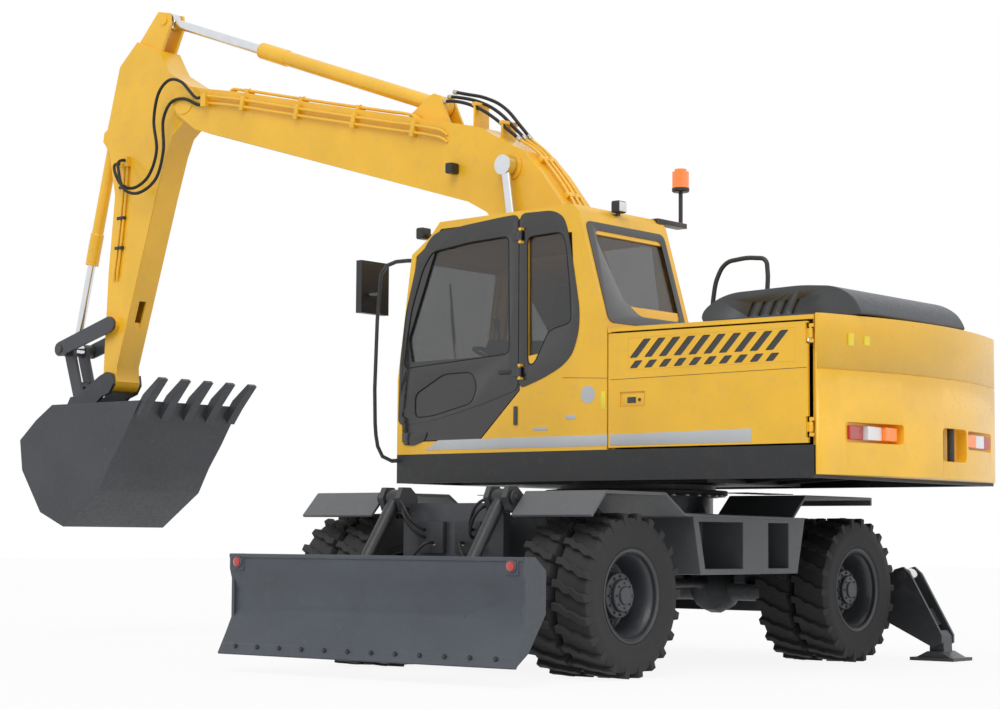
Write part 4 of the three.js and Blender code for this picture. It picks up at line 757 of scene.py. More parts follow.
UPPER_HOSE = [
    (4.5803, 0.09, 4.69), (4.65, 0.09, 4.69), (4.853, 0.094, 4.86), (5.0, 0.096, 4.89), (5.125, 0.098, 4.8),
    (5.185, 0.1, 4.558), (5.14, 0.102, 4.267), (5.243, 0.106, 4.05), (5.43, 0.112, 3.968),
    (5.58, 0.118, 4.012), (5.667, 0.12, 4.136), (5.7, 0.098, 4.2), (5.711, 0.06, 4.222),
    (5.712, 0.042, 4.225), (5.712, 0.0303, 4.225),
]
LOWER_HOSE = [
    (4.5803, 0.062, 4.632), (4.65, 0.062, 4.632), (4.85, 0.064, 4.712), (5.005, 0.066, 4.694),
    (5.095, 0.068, 4.56), (5.085, 0.072, 4.263), (5.165, 0.092, 4.015), (5.35, 0.132, 3.912),
    (5.51, 0.152, 3.966), (5.585, 0.15, 4.143), (5.622, 0.122, 4.215), (5.639, 0.062, 4.248),
    (5.64, 0.042, 4.25), (5.64, 0.0303, 4.25),
]


class EXCAVATOR_OT_free_hoses(bpy.types.Operator):
    """The two free hoses that loop round the boom's tip to the arm."""

    bl_idname = "excavator.free_hoses"
    bl_label = "Free hoses"

    def execute(self, context):
        opts = context.scene.excavator
        for name, route in (("hose_upper", UPPER_HOSE), ("hose_lower", LOWER_HOSE)):
            points, length = smooth_line([HOUSE @ Vector(p) for p in route], 120)
            curve = bpy.data.curves.new(name, "CURVE")
            curve.dimensions, curve.use_fill_caps = "3D", True
            curve.bevel_depth, curve.bevel_resolution = opts.hose, 4
            spline = curve.splines.new("POLY")
            spline.points.add(len(points) - 1)
            for knot, p in zip(spline.points, points):
                knot.co = (*p, 1)
            spline.use_smooth = True
            cord = bpy.data.objects.new("loop_" + name, curve)
            context.collection.objects.link(cord)
            curve.materials.append(MAT["hose"])
            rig.ride(cord, "boom")
            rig.slot(cord, "hose")
            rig.replaces(cord, name)
            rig.cord(cord, exit=points[0], length=round(length, 3), diameter=2 * opts.hose, far_end="object",
                    stiffness="stiff", lay="hanging")
        return {"FINISHED"}


# ---------------------------------------------------------------- finish of the framework
class EXCAVATOR_OT_framework(bpy.types.Operator):
    """Paint and softened edges on every node that shows as it is."""

    bl_idname = "excavator.framework"
    bl_label = "Framework finish"

    def execute(self, context):
        edge = context.scene.excavator.edge
        finishes = {
            "yellow": ("boom", "arm", "right_body", "side_door_left", "cab_shell"),
            "dark": ("chassis_frame", "rocker_links", "push_link"),
            "fender": ("side_deck_left", "side_deck_right"),
            "gloss": ("cab_door",),
            "black": ("upper_frame", "mirror_rail", "engine_block"),
            "axle": ("front_axle", "rear_axle", "knuckle_left", "knuckle_right"),
            "blade": ("dozer_blade",),
            "cast": ("bucket",),
            "glass": ("door_glass", "windscreen", "rear_glass", "quarter_glass", "right_glass"),
            "orange": ("beacon",),
            "tyre": tuple(n for n in NODES if n.startswith("tyre_")),
        }
        for finish, names in finishes.items():
            for name in names:
                dress(name, finish, 0 if finish in ("glass", "tyre", "orange") else edge)
        for name in NODES:
            if name.startswith(("rim_", "outrigger_leg", "outrigger_foot")):
                dress(name, "dark", edge * 0.7)
            elif name.endswith("_barrel"):
                dress(name, "yellow" if name[:4] in ("boom", "arm_", "buck") else "black", 0.003, 40)
            elif name.endswith("_rod"):
                dress(name, "chrome", 0.003, 40)
            elif name.startswith("hose"):
                dress(name, "hose")
        return {"FINISHED"}


# ---------------------------------------------------------------- wheels
TYRE_R, TYRE_HALF, TRACK, TWIN = 0.525, 0.1325, 1.245, 0.3
AXLES = (("front", pivot("spin_front_left", BASE)), ("rear", pivot("spin_rear_left", BASE)))


def one_tyre(opts):
    """One tyre about the origin, its axle along Y."""
    side = [(0.2706, 0.108), (0.303, 0.111), (0.312, 0.119), (0.335, 0.124), (0.345, 0.122), (0.39, 0.131),
            (0.42, 0.1325), (0.445, 0.1315), (0.452, 0.128), (0.474, 0.126), (0.49, 0.115)]
    base = TYRE_R - opts.lug_height
    tread = [(base, 0.09), (base + 0.002, 0.045), (base + 0.0025, 0)]
    half = side + tread
    carcass = turned(half + [(r, -y) for r, y in reversed(half[:-1])] + [half[0]], (0, 0, 0), 72)
    top = [(-0.034, -0.129), (0.014, -0.129), (0.022, -0.075), (0.055, -0.03), (0.062, 0.014), (0.03, 0.018),
           (0.012, -0.018), (-0.027, -0.07)]
    lug = sheet(top, base - 0.006, TYRE_R - 0.0042, "z", 0)
    flank = sheet([(-0.1305, 0.435), (-0.132, 0.47), (-0.129, TYRE_R - 0.0045), (-0.105, TYRE_R - 0.0045),
                   (-0.105, 0.47), (-0.12, 0.435)], -0.033, 0.013, "x", 0)
    lug = join(lug, flank)
    soften(lug, 0.0035, 1, 50)
    other = duplicate(lug, Matrix.Rotation(pi, 4, "Z"))
    here = ring_of(lug, opts.lugs)
    there = ring_of(other, opts.lugs, start=pi / opts.lugs)
    return join(carcass, here, there)


def on_wheels(made, name, finish, node):
    """Puts a copy of a piece, drawn for the left side, on each wheel in place of the wheel's node."""
    for end, at in AXLES:
        for side, s in SIDES:
            turn = Matrix.Translation((at.x, 0, at.z)) @ Matrix.Rotation(0 if s > 0 else pi, 4, "Z")
            wheel = f"_{end}_{side}"
            put(duplicate(made, turn), name + wheel, "wheel" + wheel, finish, BASE, (node + wheel,))
    bpy.data.objects.remove(made)


class EXCAVATOR_OT_tyres(bpy.types.Operator):
    """Four twin tyres with their lugs."""

    bl_idname = "excavator.tyres"
    bl_label = "Tyres"

    def execute(self, context):
        single = one_tyre(context.scene.excavator)
        middles = (TRACK - TYRE_HALF, TRACK - TYRE_HALF - TWIN)
        twin = scatter(single, [Matrix.Translation((0, y, 0)) @ Matrix.Rotation(0.06 * i, 4, "Y")
                                for i, y in enumerate(middles)])
        ring = turned([(0.33, 0.79), (0.33, 0.945), (0.2706, 0.945), (0.2706, 0.79), (0.33, 0.79)], (0, 0, 0),
                      48)
        on_wheels(join(twin, ring), "tread", "tyre", "tyre")
        return {"FINISHED"}


class EXCAVATOR_OT_rims(bpy.types.Operator):
    """Dished rims with their nuts and hub bolts."""

    bl_idname = "excavator.rims"
    bl_label = "Rims"

    def execute(self, context):
        opts = context.scene.excavator
        dish = turned([
            (0.0, 1.188), (0.052, 1.188), (0.058, 1.184), (0.06, 1.174), (0.098, 1.17), (0.104, 1.164),
            (0.106, 1.14), (0.138, 1.136), (0.145, 1.13), (0.147, 1.03), (0.156, 1.02), (0.165, 1.012),
            (0.215, 1.014), (0.226, 1.022), (0.236, 1.06), (0.243, 1.13), (0.25, 1.165), (0.262, 1.19),
            (0.272, 1.2), (0.279, 1.222), (0.293, 1.231), (0.3, 1.228), (0.3005, 1.22), (0.29, 1.212),
            (0.2698, 1.205), (0.2698, 0.7), (0.254, 0.7), (0.254, 0.99), (0.243, 1.0), (0.145, 1.0),
            (0.145, 0.93), (0.071, 0.93), (0.071, 1.13), (0, 1.13),
        ], (0, 0, 0), 72)
        ring = turned([(0.2545, 1.184), (0.262, 1.178), (0.268, 1.186), (0.262, 1.196), (0.2545, 1.184)],
                      (0, 0, 0), 72)
        nuts = bolt_ring(0.0165, 0.034, (0.188, 1.008, 0), opts.studs)
        caps = bolt_ring(0.0085, 0.014, (0.122, 1.136, 0), 12)
        inner = bolt_ring(0.0065, 0.011, (0.08, 1.17, 0), 8)
        valve = line_tube([(0.2, 1.02, 0.1), (0.205, 1.08, 0.103), (0.215, 1.12, 0.108)], 0.005)
        on_wheels(join(dish, ring, nuts, caps, inner, valve), "dish", "dark", "rim")
        return {"FINISHED"}


# ---------------------------------------------------------------- cylinders
# Each cylinder's length between pins, the radii of its barrel and its rod, the barrel's length from its pin,
# the gland's length, the lug's reach past the pin, and its paint.
PAIRED_RAMS = {
    "blade_cyl": (0.9987, 0.045, 0.028, 0.6, 0.06, 0.058, "black"),
    "outrigger_cyl": (1.1573, 0.046, 0.03, 0.635, 0.06, 0.052, "black"),
    "boom_cyl": (2.3486, 0.05, 0.036, 1.54, 0.11, 0.08, "yellow"),
}
RAMS = {f"{name}_{side}": sizes for name, sizes in PAIRED_RAMS.items() for side, _s in SIDES}
RAMS["arm_cyl"] = (3.4088, 0.062, 0.042, 2.169, 0.32, 0.084, "yellow")
RAMS["bucket_cyl"] = (1.9696, 0.052, 0.036, 1.161, 0.28, 0.066, "yellow")


def ram_frame(name):
    """The cylinder's own frame: X along it, Y along its pins."""
    base, slide = JOINTS[name + "_turn"], JOINTS[name + "_slide"]
    x = Vector(slide["axis"]).normalized()
    y = Vector(base["axis"]).normalized()
    z = x.cross(y)
    turn = Matrix((x, y, z)).transposed().to_4x4()
    return Matrix.Translation(base["pos_m"]) @ turn


class EXCAVATOR_OT_cylinders(bpy.types.Operator):
    """Round barrels, glands and chromed rods over the cylinders."""

    bl_idname = "excavator.cylinders"
    bl_label = "Cylinders"

    def execute(self, context):
        for name, (length, r, rod_r, barrel, gland, lug, paint) in RAMS.items():
            ram = ram_frame(name)
            g = barrel - gland
            sleeve = turned([
                (0.0, lug * 0.7), (r * 0.6, lug * 0.72), (r + 0.0012, lug * 1.1), (r + 0.0012, g - 0.01),
                (r + 0.0092, g), (r + 0.0092, barrel - 0.03), (r + 0.006, barrel - 0.026),
                (r + 0.006, barrel - 0.014), (r + 0.0086, barrel - 0.01), (r + 0.0086, barrel + 0.0005),
                (r + 0.002, barrel + 0.004), (rod_r + 0.0035, barrel + 0.004),
                (rod_r + 0.0035, barrel - 0.02), (0, barrel - 0.02),
            ], (0, 0, 0), 40, "x")
            nuts = bolt_ring(0.006, 0.008, (barrel + 0.002, r + 0.001, 0), 8, "X")
            put(join(sleeve, nuts), name + "_sleeve", name + "_barrel", paint, ram)
            bright = turned([
                (0.0, barrel - 0.06), (rod_r + 0.0006, barrel - 0.058), (rod_r + 0.0006, length - lug * 0.75),
                (rod_r + 0.005, length - lug * 0.7), (rod_r + 0.005, length - lug * 0.35),
                (0, length - lug * 0.33),
            ], (0, 0, 0), 40, "x")
            put(bright, name + "_bright", name + "_rod", "chrome", ram)
        return {"FINISHED"}


# ---------------------------------------------------------------- undercarriage
class EXCAVATOR_OT_blade(bpy.types.Operator):
    """Cutting edge, bolts, lip, ribs and marker lamps of the dozer blade."""

    bl_idname = "excavator.blade"
    bl_label = "Dozer blade"

    def execute(self, context):
        half = 1.245 - 0.002
        edge = sheet([(2.969, 0.114), (2.933, 0.19), (2.928, 0.186), (2.94, 0.112)], -half, half, "y", 0.002)
        lip = sheet([(2.872, 0.74), (2.879, 0.745), (2.879, 0.768), (2.8, 0.7695), (2.8, 0.762),
                     (2.872, 0.762)], -half, half, "y", 0.002)
        put(join(edge, lip), "blade_edge", "blade", "blade", BASE)
        spots = [(2.948, y / 10, 0.168) for y in range(-11, 12, 2)]
        put(bolts(spots, 0.014, 0.01, "x"), "blade_bolts", "blade", "axle", BASE)
        lamps, cups, posts = [], [], []
        for _side, s in SIDES:
            y = s * 1.16
            cups.append(turned([(0, 2.86), (0.036, 2.86), (0.04, 2.868), (0.04, 2.885), (0.032, 2.89),
                                (0, 2.89)], (0, y, 0.715), 28, "x"))
            lamps.append(turned([(0, 2.8895), (0.03, 2.8895), (0.029, 2.896), (0.016, 2.902), (0, 2.904)],
                                (0, y, 0.715), 28, "x"))
            posts.append(block((2.8, y - 0.05, 0.66), (2.878, y + 0.05, 0.769), 0.006))
        put(join(*cups, *posts), "marker_cups", "blade", "blade", BASE)
        put(join(*lamps), "marker_lenses", "blade", "red", BASE)
        ribs = [sheet([(2.835, 0.72), (2.75, 0.69), (2.7, 0.45), (2.79, 0.42)], y - 0.008, y + 0.008, "y",
                      0.002) for y in (-0.9, -0.55, 0.0, 0.55, 0.9)]
        put(join(*ribs), "blade_ribs", "blade", "blade", BASE)
        return {"FINISHED"}


NOSE_HOSE_R = 0.0105


class EXCAVATOR_OT_nose_hoses(bpy.types.Operator):
    """Hoses with their fittings, port blocks and pin caps at the nose, between the blade cylinders."""

    bl_idname = "excavator.nose_hoses"
    bl_label = "Nose hoses"

    def execute(self, context):
        hoses, fittings, blocks = [], [], []
        for _side, s in SIDES:
            for y, drop in ((0.385, 0.0), (0.345, 0.05)):
                route = [(2.075, s * 0.2, 0.93 - drop), (2.14, s * 0.22, 0.95 - drop),
                         (2.19, s * 0.27, 1.02 - drop), (2.19, s * 0.32, 1.1 - drop),
                         (2.15, s * y, 1.135 - drop), (2.1, s * (y + 0.01), 1.12 - drop)]
                hoses.append(line_tube(route, NOSE_HOSE_R))
                fittings.append(rod((2.062, s * 0.2, 0.93 - drop), (2.088, s * 0.203, 0.933 - drop), 0.016, 6,
                                    0.001))
            low = [(2.07, s * 0.12, 0.84), (2.15, s * 0.14, 0.85), (2.2, s * 0.2, 0.78),
                   (2.19, s * 0.26, 0.68), (2.12, s * 0.29, 0.62), (2.063, s * 0.3, 0.61)]
            hoses.append(line_tube(low, NOSE_HOSE_R))
            fittings.append(rod(low[0], (2.1, s * 0.13, 0.845), 0.016, 6, 0.001))
            blocks.append(block((2.061, s * 0.05, 0.78), (2.1, s * 0.27, 0.99), 0.006))
            cap = [(0, 0), (0.045, 0), (0.048, 0.006), (0.044, 0.016), (0.018, 0.018), (0.016, 0.026),
                   (0, 0.026)]
            blocks.append(turned(cap, (2.11, s * 0.56 - (0.026 if s < 0 else 0), 1.143), 24, "y"))
        put(join(*hoses), "nose_hose_set", "chassis", "hose", BASE)
        put(join(*fittings), "nose_fittings", "chassis", "steel", BASE)
        put(join(*blocks), "nose_blocks", "chassis", "axle", BASE)
        return {"FINISHED"}


class EXCAVATOR_OT_chassis_trim(bpy.types.Operator):
    """Slew ring with its bolts, step treads and the drive shaft."""

    bl_idname = "excavator.chassis_trim"
    bl_label = "Chassis trim"

    def execute(self, context):
        ring = turned([(0.56, 1.2), (0.66, 1.2), (0.665, 1.206), (0.665, 1.23), (0.655, 1.235), (0.56, 1.235),
                       (0.56, 1.2)], (0, 0, 0), 96, "z")
        put(ring, "slew_ring", "chassis", "axle", BASE)
        heads = bolt_ring(0.014, 0.016, (0.635, 0, 1.19), 36, "Z")
        put(heads, "slew_bolts", "chassis", "steel", BASE)
        starts = [0.05 + 0.09 * i - 0.27 for i in range(7)]
        treads = [block((x, s * 0.98, 1.2005), (x + 0.05, s * 1.2, 1.206), 0.002, 1) for _side, s in SIDES
                  for x in starts]
        put(join(*treads), "step_treads", "chassis", "dark", BASE)
        shaft = turned([(0, -0.9), (0.03, -0.9), (0.05, -0.88), (0.05, -0.84), (0.034, -0.8), (0.034, 1.45),
                        (0.05, 1.5), (0.05, 1.56), (0.03, 1.58), (0, 1.58)], (0, 0, 0.56), 28, "x")
        put(shaft, "drive_shaft", "chassis", "axle", BASE)
        return {"FINISHED"}


# ---------------------------------------------------------------- house
HALF, SEAM = 1.22, -2.236
SKIN = HALF + 0.0004


def flush(outline, y0, y1, round_off=0.0008):
    """A thin plate on one of the house's sides."""
    return sheet(outline, y0, y1, "y", round_off)


class EXCAVATOR_OT_house_trim(bpy.types.Operator):
    """Silver bands, louvres with a black sheet of painted shade behind their slots, latch, blank labels, intake and
    panel lines drawn as dark strips of painted shade in the crease along the house's sides.
    """

    bl_idname = "excavator.house_trim"
    bl_label = "House trim"

    def execute(self, context):
        opts = context.scene.excavator
        y0, y1 = SKIN, HALF + 0.0016
        front = flush([(0.981, 1.505), (0.86, 1.575), (-0.637, 1.579), (-0.637, 1.504)], y0, y1)
        put(front, "band_house", "house", "silver")
        back = flush([(-0.661, 1.504), (-0.661, 1.579), (-1.778, 1.59), (-1.778, 1.504)], y0, y1)
        put(back, "band_side_door", "side_door", "silver")
        far = flush([(SEAM + 0.01, 1.5), (1.2, 1.5), (1.2, 1.562), (SEAM + 0.01, 1.562)], -y1, -y0)
        put(far, "band_right", "house", "silver")
        pitch = 1.18 / opts.slots
        tools = []
        for low, high in ((2.015, 2.066), (2.085, 2.208)):
            lean = 0.95 * (high - low)
            for i in range(opts.slots):
                x = -0.818 - i * pitch
                wide = pitch * 0.52
                slot = [(x, low), (x - wide, low), (x - wide - lean, high), (x - lean, high)]
                tools.append(flush(rounded(slot, 0.009, 3), HALF - 0.03, HALF + 0.02, 0))
        grille = cut(block((-2.1045, HALF - 0.0055, 2.0055), (-0.8085, HALF - 0.0004, 2.2195), 0), *tools)
        put(soften(grille, 0.0008, 1), "louvre_grille", "side_door", "yellow")
        # A gloss black sheet just behind the slots: painted shade of the dark space behind the louvres.
        shade = block((-2.1045, HALF - 0.0078, 2.0055), (-0.8085, HALF - 0.006, 2.2195), 0)
        put(shade, "louvre_shade", "side_door", "gloss")
        pan = block((-0.935, HALF - 0.0095, 1.765), (-0.755, HALF - 0.006, 1.848), 0.002)
        grip = block((-0.87, HALF - 0.007, 1.785), (-0.8, HALF - 0.001, 1.825), 0.003)
        lock = turned([(0, 0), (0.011, 0), (0.011, 0.006), (0, 0.007)], (-0.9, HALF - 0.0065, 1.806), 20, "y")
        put(pan, "latch_pan", "side_door", "yellow")
        put(join(grip, lock), "latch_grip", "side_door", "gloss")
        # Thin dark strips along the crease line across the side door and the house: painted shade in the crease.
        for body, x0, z0, x1, z1 in (("side_door", -0.66, 1.944, -2.19, 1.962),
                                     ("house", -0.26, 1.975, -0.636, 1.957)):
            crease = flush([(x0, z0), (x1, z1), (x1, z1 + 0.003), (x0, z0 + 0.003)], y0, HALF + 0.001, 0)
            put(crease, "crease_" + body, body, "axle")
        tags = [(-0.62, 1.75, -0.585, 1.87, "label"), (-0.13, 1.62, -0.01, 1.644, "silver"),
                (-0.37, 1.69, -0.29, 1.72, "silver")]
        for i, (x0, z0, x1, z1, finish) in enumerate(tags):
            tag = flush([(x0, z0), (x1, z0), (x1, z1), (x0, z1)], HALF + 0.0003, HALF + 0.0013)
            put(tag, f"tag_{i}", "house", finish)
        disc = turned([(0, 0), (0.06, 0), (0.06, 0.001), (0, 0.0012)], (-0.474, SKIN, 1.854), 40, "y")
        put(disc, "round_tag", "house", "silver")
        lamp = rounded([(1.198, 1.635), (0.953, 1.637), (0.982, 1.576), (1.084, 1.54), (1.187, 1.55)], 0.025)
        put(flush(lamp, SKIN, HALF + 0.008, 0.003), "side_intake", "house", "gloss")
        return {"FINISHED"}


DOOR_RIM = [(1.24, 1.69), (0.964, 1.707), (0.702, 1.76), (0.446, 1.82), (0.215, 1.887), (0.129, 1.91),
            (0.129, 3.137), (0.303, 3.127), (0.618, 3.1), (0.899, 3.068), (0.965, 3.015), (1.081, 2.843),
            (1.176, 2.505), (1.228, 2.15)]
QUARTER_RIM = [(0.121, 1.912), (-0.087, 1.979), (-0.253, 2.053), (-0.346, 2.136), (-0.399, 2.295),
               (-0.403, 2.441), (-0.351, 2.738), (-0.304, 2.978), (-0.266, 3.085), (-0.173, 3.137),
               (0.121, 3.14)]
DOOR_LIGHT = [(0.928, 2.932), (0.576, 2.974), (0.22, 2.99), (0.208, 2.163), (1.19, 2.1), (1.165, 2.3),
              (1.118, 2.533), (1.018, 2.807)]
LOW_LIGHT = [(1.076, 1.74), (1.078, 1.91), (0.806, 2.046), (0.547, 2.05), (0.497, 1.95), (0.545, 1.83),
             (0.903, 1.751)]
QUARTER_LIGHT = [(0.052, 2.97), (-0.248, 2.983), (-0.286, 2.89), (-0.324, 2.563), (-0.332, 2.35),
                 (-0.141, 2.309), (-0.011, 2.078), (0.045, 2.081)]
REAR_LIGHT = [(0.31, 0.13), (0.79, 0.13), (0.957, 0.25), (1.1, 0.66), (1.09, 0.74), (0.31, 0.74)]


class EXCAVATOR_OT_cab(bpy.types.Operator):
    """Window frames with gaskets, door grip and hinges, wiper, beacon foot, and the cab's and boom's lamps."""

    bl_idname = "excavator.cab"
    bl_label = "Cab"

    def execute(self, context):
        y0, y1 = SKIN, HALF + 0.0045
        gaskets = {"cab_door": [], "house": []}
        for name, body, rim, lights in (("door_frame", "cab_door", DOOR_RIM, (DOOR_LIGHT, LOW_LIGHT)),
                                        ("quarter_frame", "house", QUARTER_RIM, (QUARTER_LIGHT,))):
            outlines = [rounded(light, 0.05) for light in lights]
            tools = [flush(outline, HALF - 0.05, HALF + 0.05, 0) for outline in outlines]
            frame_skin = cut(flush(rounded(rim, 0.06), y0, y1, 0), *tools)
            put(soften(frame_skin, 0.0012), name, body, "gloss")
            for outline in outlines:
                loop = [(x, HALF + 0.002, z) for x, z in outline]
                gaskets[body].append(line_tube(loop + loop[:1], 0.005, False, 2))
        for body, loops in gaskets.items():
            put(join(*loops), "gasket_" + body, body, "seal")
        lean = Matrix(((-0.9611, 0, 0.2763, -0.6345), (0, -1, 0, 0), (0.2763, 0, 0.9611, 2.2825),
                       (0, 0, 0, 1)))
        rim = [(-0.25, 0.06), (-1.18, 0.06), (-1.18, 0.8), (-0.25, 0.8)]
        light = rounded([(-y, s) for y, s in REAR_LIGHT], 0.05)
        rear = cut(sheet(rounded(rim, 0.06), 0, 0.005, "x", 0), sheet(light, -0.05, 0.05, "x", 0))
        put(soften(moved(rear, lean), 0.0012), "rear_frame", "house", "gloss")
        grip = block((0.17, HALF + 0.005, 2.02), (0.3, HALF + 0.018, 2.05), 0.006)
        put(grip, "door_grip", "cab_door", "black")
        hinges = [block((0.132, HALF + 0.0005, z), (0.166, HALF + 0.011, z + 0.13), 0.005)
                  for z in (1.665, 2.96)]
        put(join(*hinges), "door_hinges", "house", "gloss")
        wiper = [line_tube([(1.262, 0.52, 2.07), (1.235, 0.62, 2.35), (1.195, 0.7, 2.6)], 0.006, True, 2),
                 line_tube([(1.235, 0.6, 2.33), (1.178, 0.73, 2.76)], 0.009, False, 2),
                 rod((1.235, 0.52, 2.06), (1.268, 0.52, 2.065), 0.02, 20, 0.003)]
        put(join(*wiper), "wiper", "house", "black")
        cases, glasses = [], []
        for x, y, z, way in ((1.12, 1.1, 3.09, 1), (1.12, 0.3, 3.09, 1), (-0.4, 0.77, 3.19, -1),
                             (1.72, 0.085, 3.77, 1)):
            case = crown(block((x - 0.035, y - 0.05, z - 0.04), (x + 0.035, y + 0.05, z + 0.045), 0), 0.014)
            glass = block((x + way * 0.034, y - 0.04, z - 0.031), (x + way * 0.039, y + 0.04, z + 0.036),
                          0.002)
            cases.append(case)
            glasses.append(glass)
        shelf = [block((0.93, y - 0.02, 3.072), (1.1, y + 0.02, 3.08), 0.002) for y in (1.1, 0.3)]
        foot = block((-0.4, 0.75, 3.13), (-0.385, 0.79, 3.16), 0.002)
        put(cases.pop(), "boom_lamp", "boom", "black")
        put(glasses.pop(), "boom_lamp_glass", "boom", "clear")
        put(join(*cases, *shelf, foot), "cab_lamps", "house", "black")
        put(join(*glasses), "cab_lamp_glass", "house", "clear")
        lo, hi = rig.box("beacon")
        base = turned([(0, 0), (0.056, 0), (0.064, 0.008), (0.064, 0.03), (0.05, 0.034), (0, 0.034)],
                      (-0.35, -0.062, hi.z - 0.17), 36, "z")
        stalk = rod((-0.35, -0.062, lo.z + 0.03), (-0.35, -0.062, hi.z - 0.16), 0.0155, 24)
        shelf = block((-0.379, -0.103, lo.z - 0.001), (-0.289, 0.263, lo.z + 0.037), 0.004)
        base = join(base, stalk, shelf)
        put(base, "beacon_foot", "house", "black")
        return {"FINISHED"}


SEAT_Y = 0.706


def pad(lo, hi, bulge=0.12):
    """A crowned pad: a box drawn out towards a ball, with its edges rolled over."""
    body = in_edit(block(lo, hi, 0), (bpy.ops.mesh.subdivide, {"number_cuts": 6}))
    bpy.ops.object.origin_set(type="ORIGIN_GEOMETRY")
    modify(body, "CAST", factor=bulge)
    bpy.ops.object.transform_apply(location=True, rotation=True, scale=True)
    soften(body, 0.022, 4, 50)
    modify(body, "SUBSURF", levels=1)
    bpy.ops.object.shade_smooth_by_angle(angle=radians(60))
    return body


class EXCAVATOR_OT_seat(bpy.types.Operator):
    """Padded seat with bolsters and head rest, its base, consoles with levers, and the steering wheel."""

    bl_idname = "excavator.seat"
    bl_label = "Seat"

    def execute(self, context):
        y = SEAT_Y
        lean = Matrix.Translation((0.045, 0, 2.06)) @ Matrix.Rotation(radians(-8.5), 4, "Y")
        cushion = [pad((-0.02, y - 0.135, 1.9), (0.48, y + 0.135, 2.04))]
        cushion += [pad((-0.02, y + a, 1.9), (0.49, y + a + 0.11, 2.06), 0.06) for a in (-0.24, 0.13)]
        back = [pad((-0.045, y - 0.135, 0.02), (0.045, y + 0.135, 0.65))]
        back += [pad((-0.045, y + a, 0.02), (0.065, y + a + 0.11, 0.6), 0.05) for a in (-0.24, 0.13)]
        head = pad((-0.04, y - 0.13, 0.67), (0.05, y + 0.13, 0.83), 0.1)
        for piece, name in ((join(*cushion), "seat_cushion"), (join(*back), "seat_back"),
                            (head, "seat_headrest")):
            put(moved(piece, Matrix.Identity(4) if name == "seat_cushion" else lean), name, "house", "cloth")
            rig.padded(piece, fill=0.8)
        base = [block((-0.06, y - 0.19, 1.54), (0.46, y + 0.19, 1.88), 0.02)]
        base += [block((-0.03, y - 0.21, 1.875), (0.47, y + 0.21, 1.905), 0.008)]
        side = rounded([(-0.06, 2.18), (0.5, 2.18), (0.56, 2.235), (0.52, 2.29), (-0.06, 2.25)], 0.03)
        for s in (1, -1):
            inner, outer = sorted((y + s * 0.26, y + s * 0.365))
            base.append(sheet(side, inner, outer, "y", 0.012))
            inner, outer = sorted((y + s * 0.2, y + s * 0.34))
            base.append(block((0.06, inner, 1.95), (0.24, outer, 2.19), 0.02))
            base.append(line_tube([(0.475, y + s * 0.31, 2.26), (0.47, y + s * 0.31, 2.33),
                                   (0.485, y + s * 0.31, 2.39)], 0.009, True, 3))
            base.append(rod((0.484, y + s * 0.31, 2.37), (0.497, y + s * 0.31, 2.44), 0.021, 20, 0.008, 1.25))
        base += [rod(lean @ Vector((0, y + a, 0.6)), lean @ Vector((0, y + a, 0.72)), 0.008)
                 for a in (-0.06, 0.06)]
        base.append(sheet(rounded([(0.76, 1.54), (0.9, 1.54), (0.8, 2.19), (0.74, 2.19)], 0.03), y - 0.04,
                          y + 0.04, "y", 0.01))
        hub = Matrix.Translation((0.772, y, 2.215)) @ Matrix.Rotation(radians(-22), 4, "Y")
        wheel = turned([(0.152 + 0.014 * cos(k * pi / 5), 0.014 * sin(k * pi / 5)) for k in range(11)],
                       (0, 0, 0), 56, "z")
        spokes = [rod((0, 0, -0.006), (0.148 * cos(a), 0.148 * sin(a), 0), 0.009) for a in (0, 2.1, 4.2)]
        ring = join(wheel, *spokes, rod((0, 0, -0.04), (0, 0, 0.012), 0.04, 28, 0.008))
        put(join(moved(ring, hub), *base), "seat_base", "house", "trim", HOUSE, ("seat_console",))
        return {"FINISHED"}


def tail_x(y, d=0.0):
    """How far back the counterweight's curved face is at y, drawn in by d."""
    return 1.167 + d - (3.637 ** 2 - y ** 2) ** 0.5


def tail_line(d=0.0):
    """The counterweight's outline from above, drawn in by d. Its right corner is wider than its left."""
    line = [(-2.24, -1.205 + d)]
    for side, start in ((-1, 0.96), (1, 1.06)):
        edge, end = Vector((-2.24, side * (1.205 - d))), Vector((tail_x(start, d), side * start))
        turn = Vector((-2.285 + d, side * (1.205 - d)))
        steps = [k / 8 for k in range(9)]
        bend = [edge * (1 - t) ** 2 + turn * 2 * t * (1 - t) + end * t ** 2 for t in steps]
        if side < 0:
            line += [tuple(p) for p in bend[1:]]
            line += [(tail_x(-0.96 + 2.02 * k / 24, d), -0.96 + 2.02 * k / 24) for k in range(1, 24)]
        else:
            line += [tuple(p) for p in reversed(bend)]
    return line


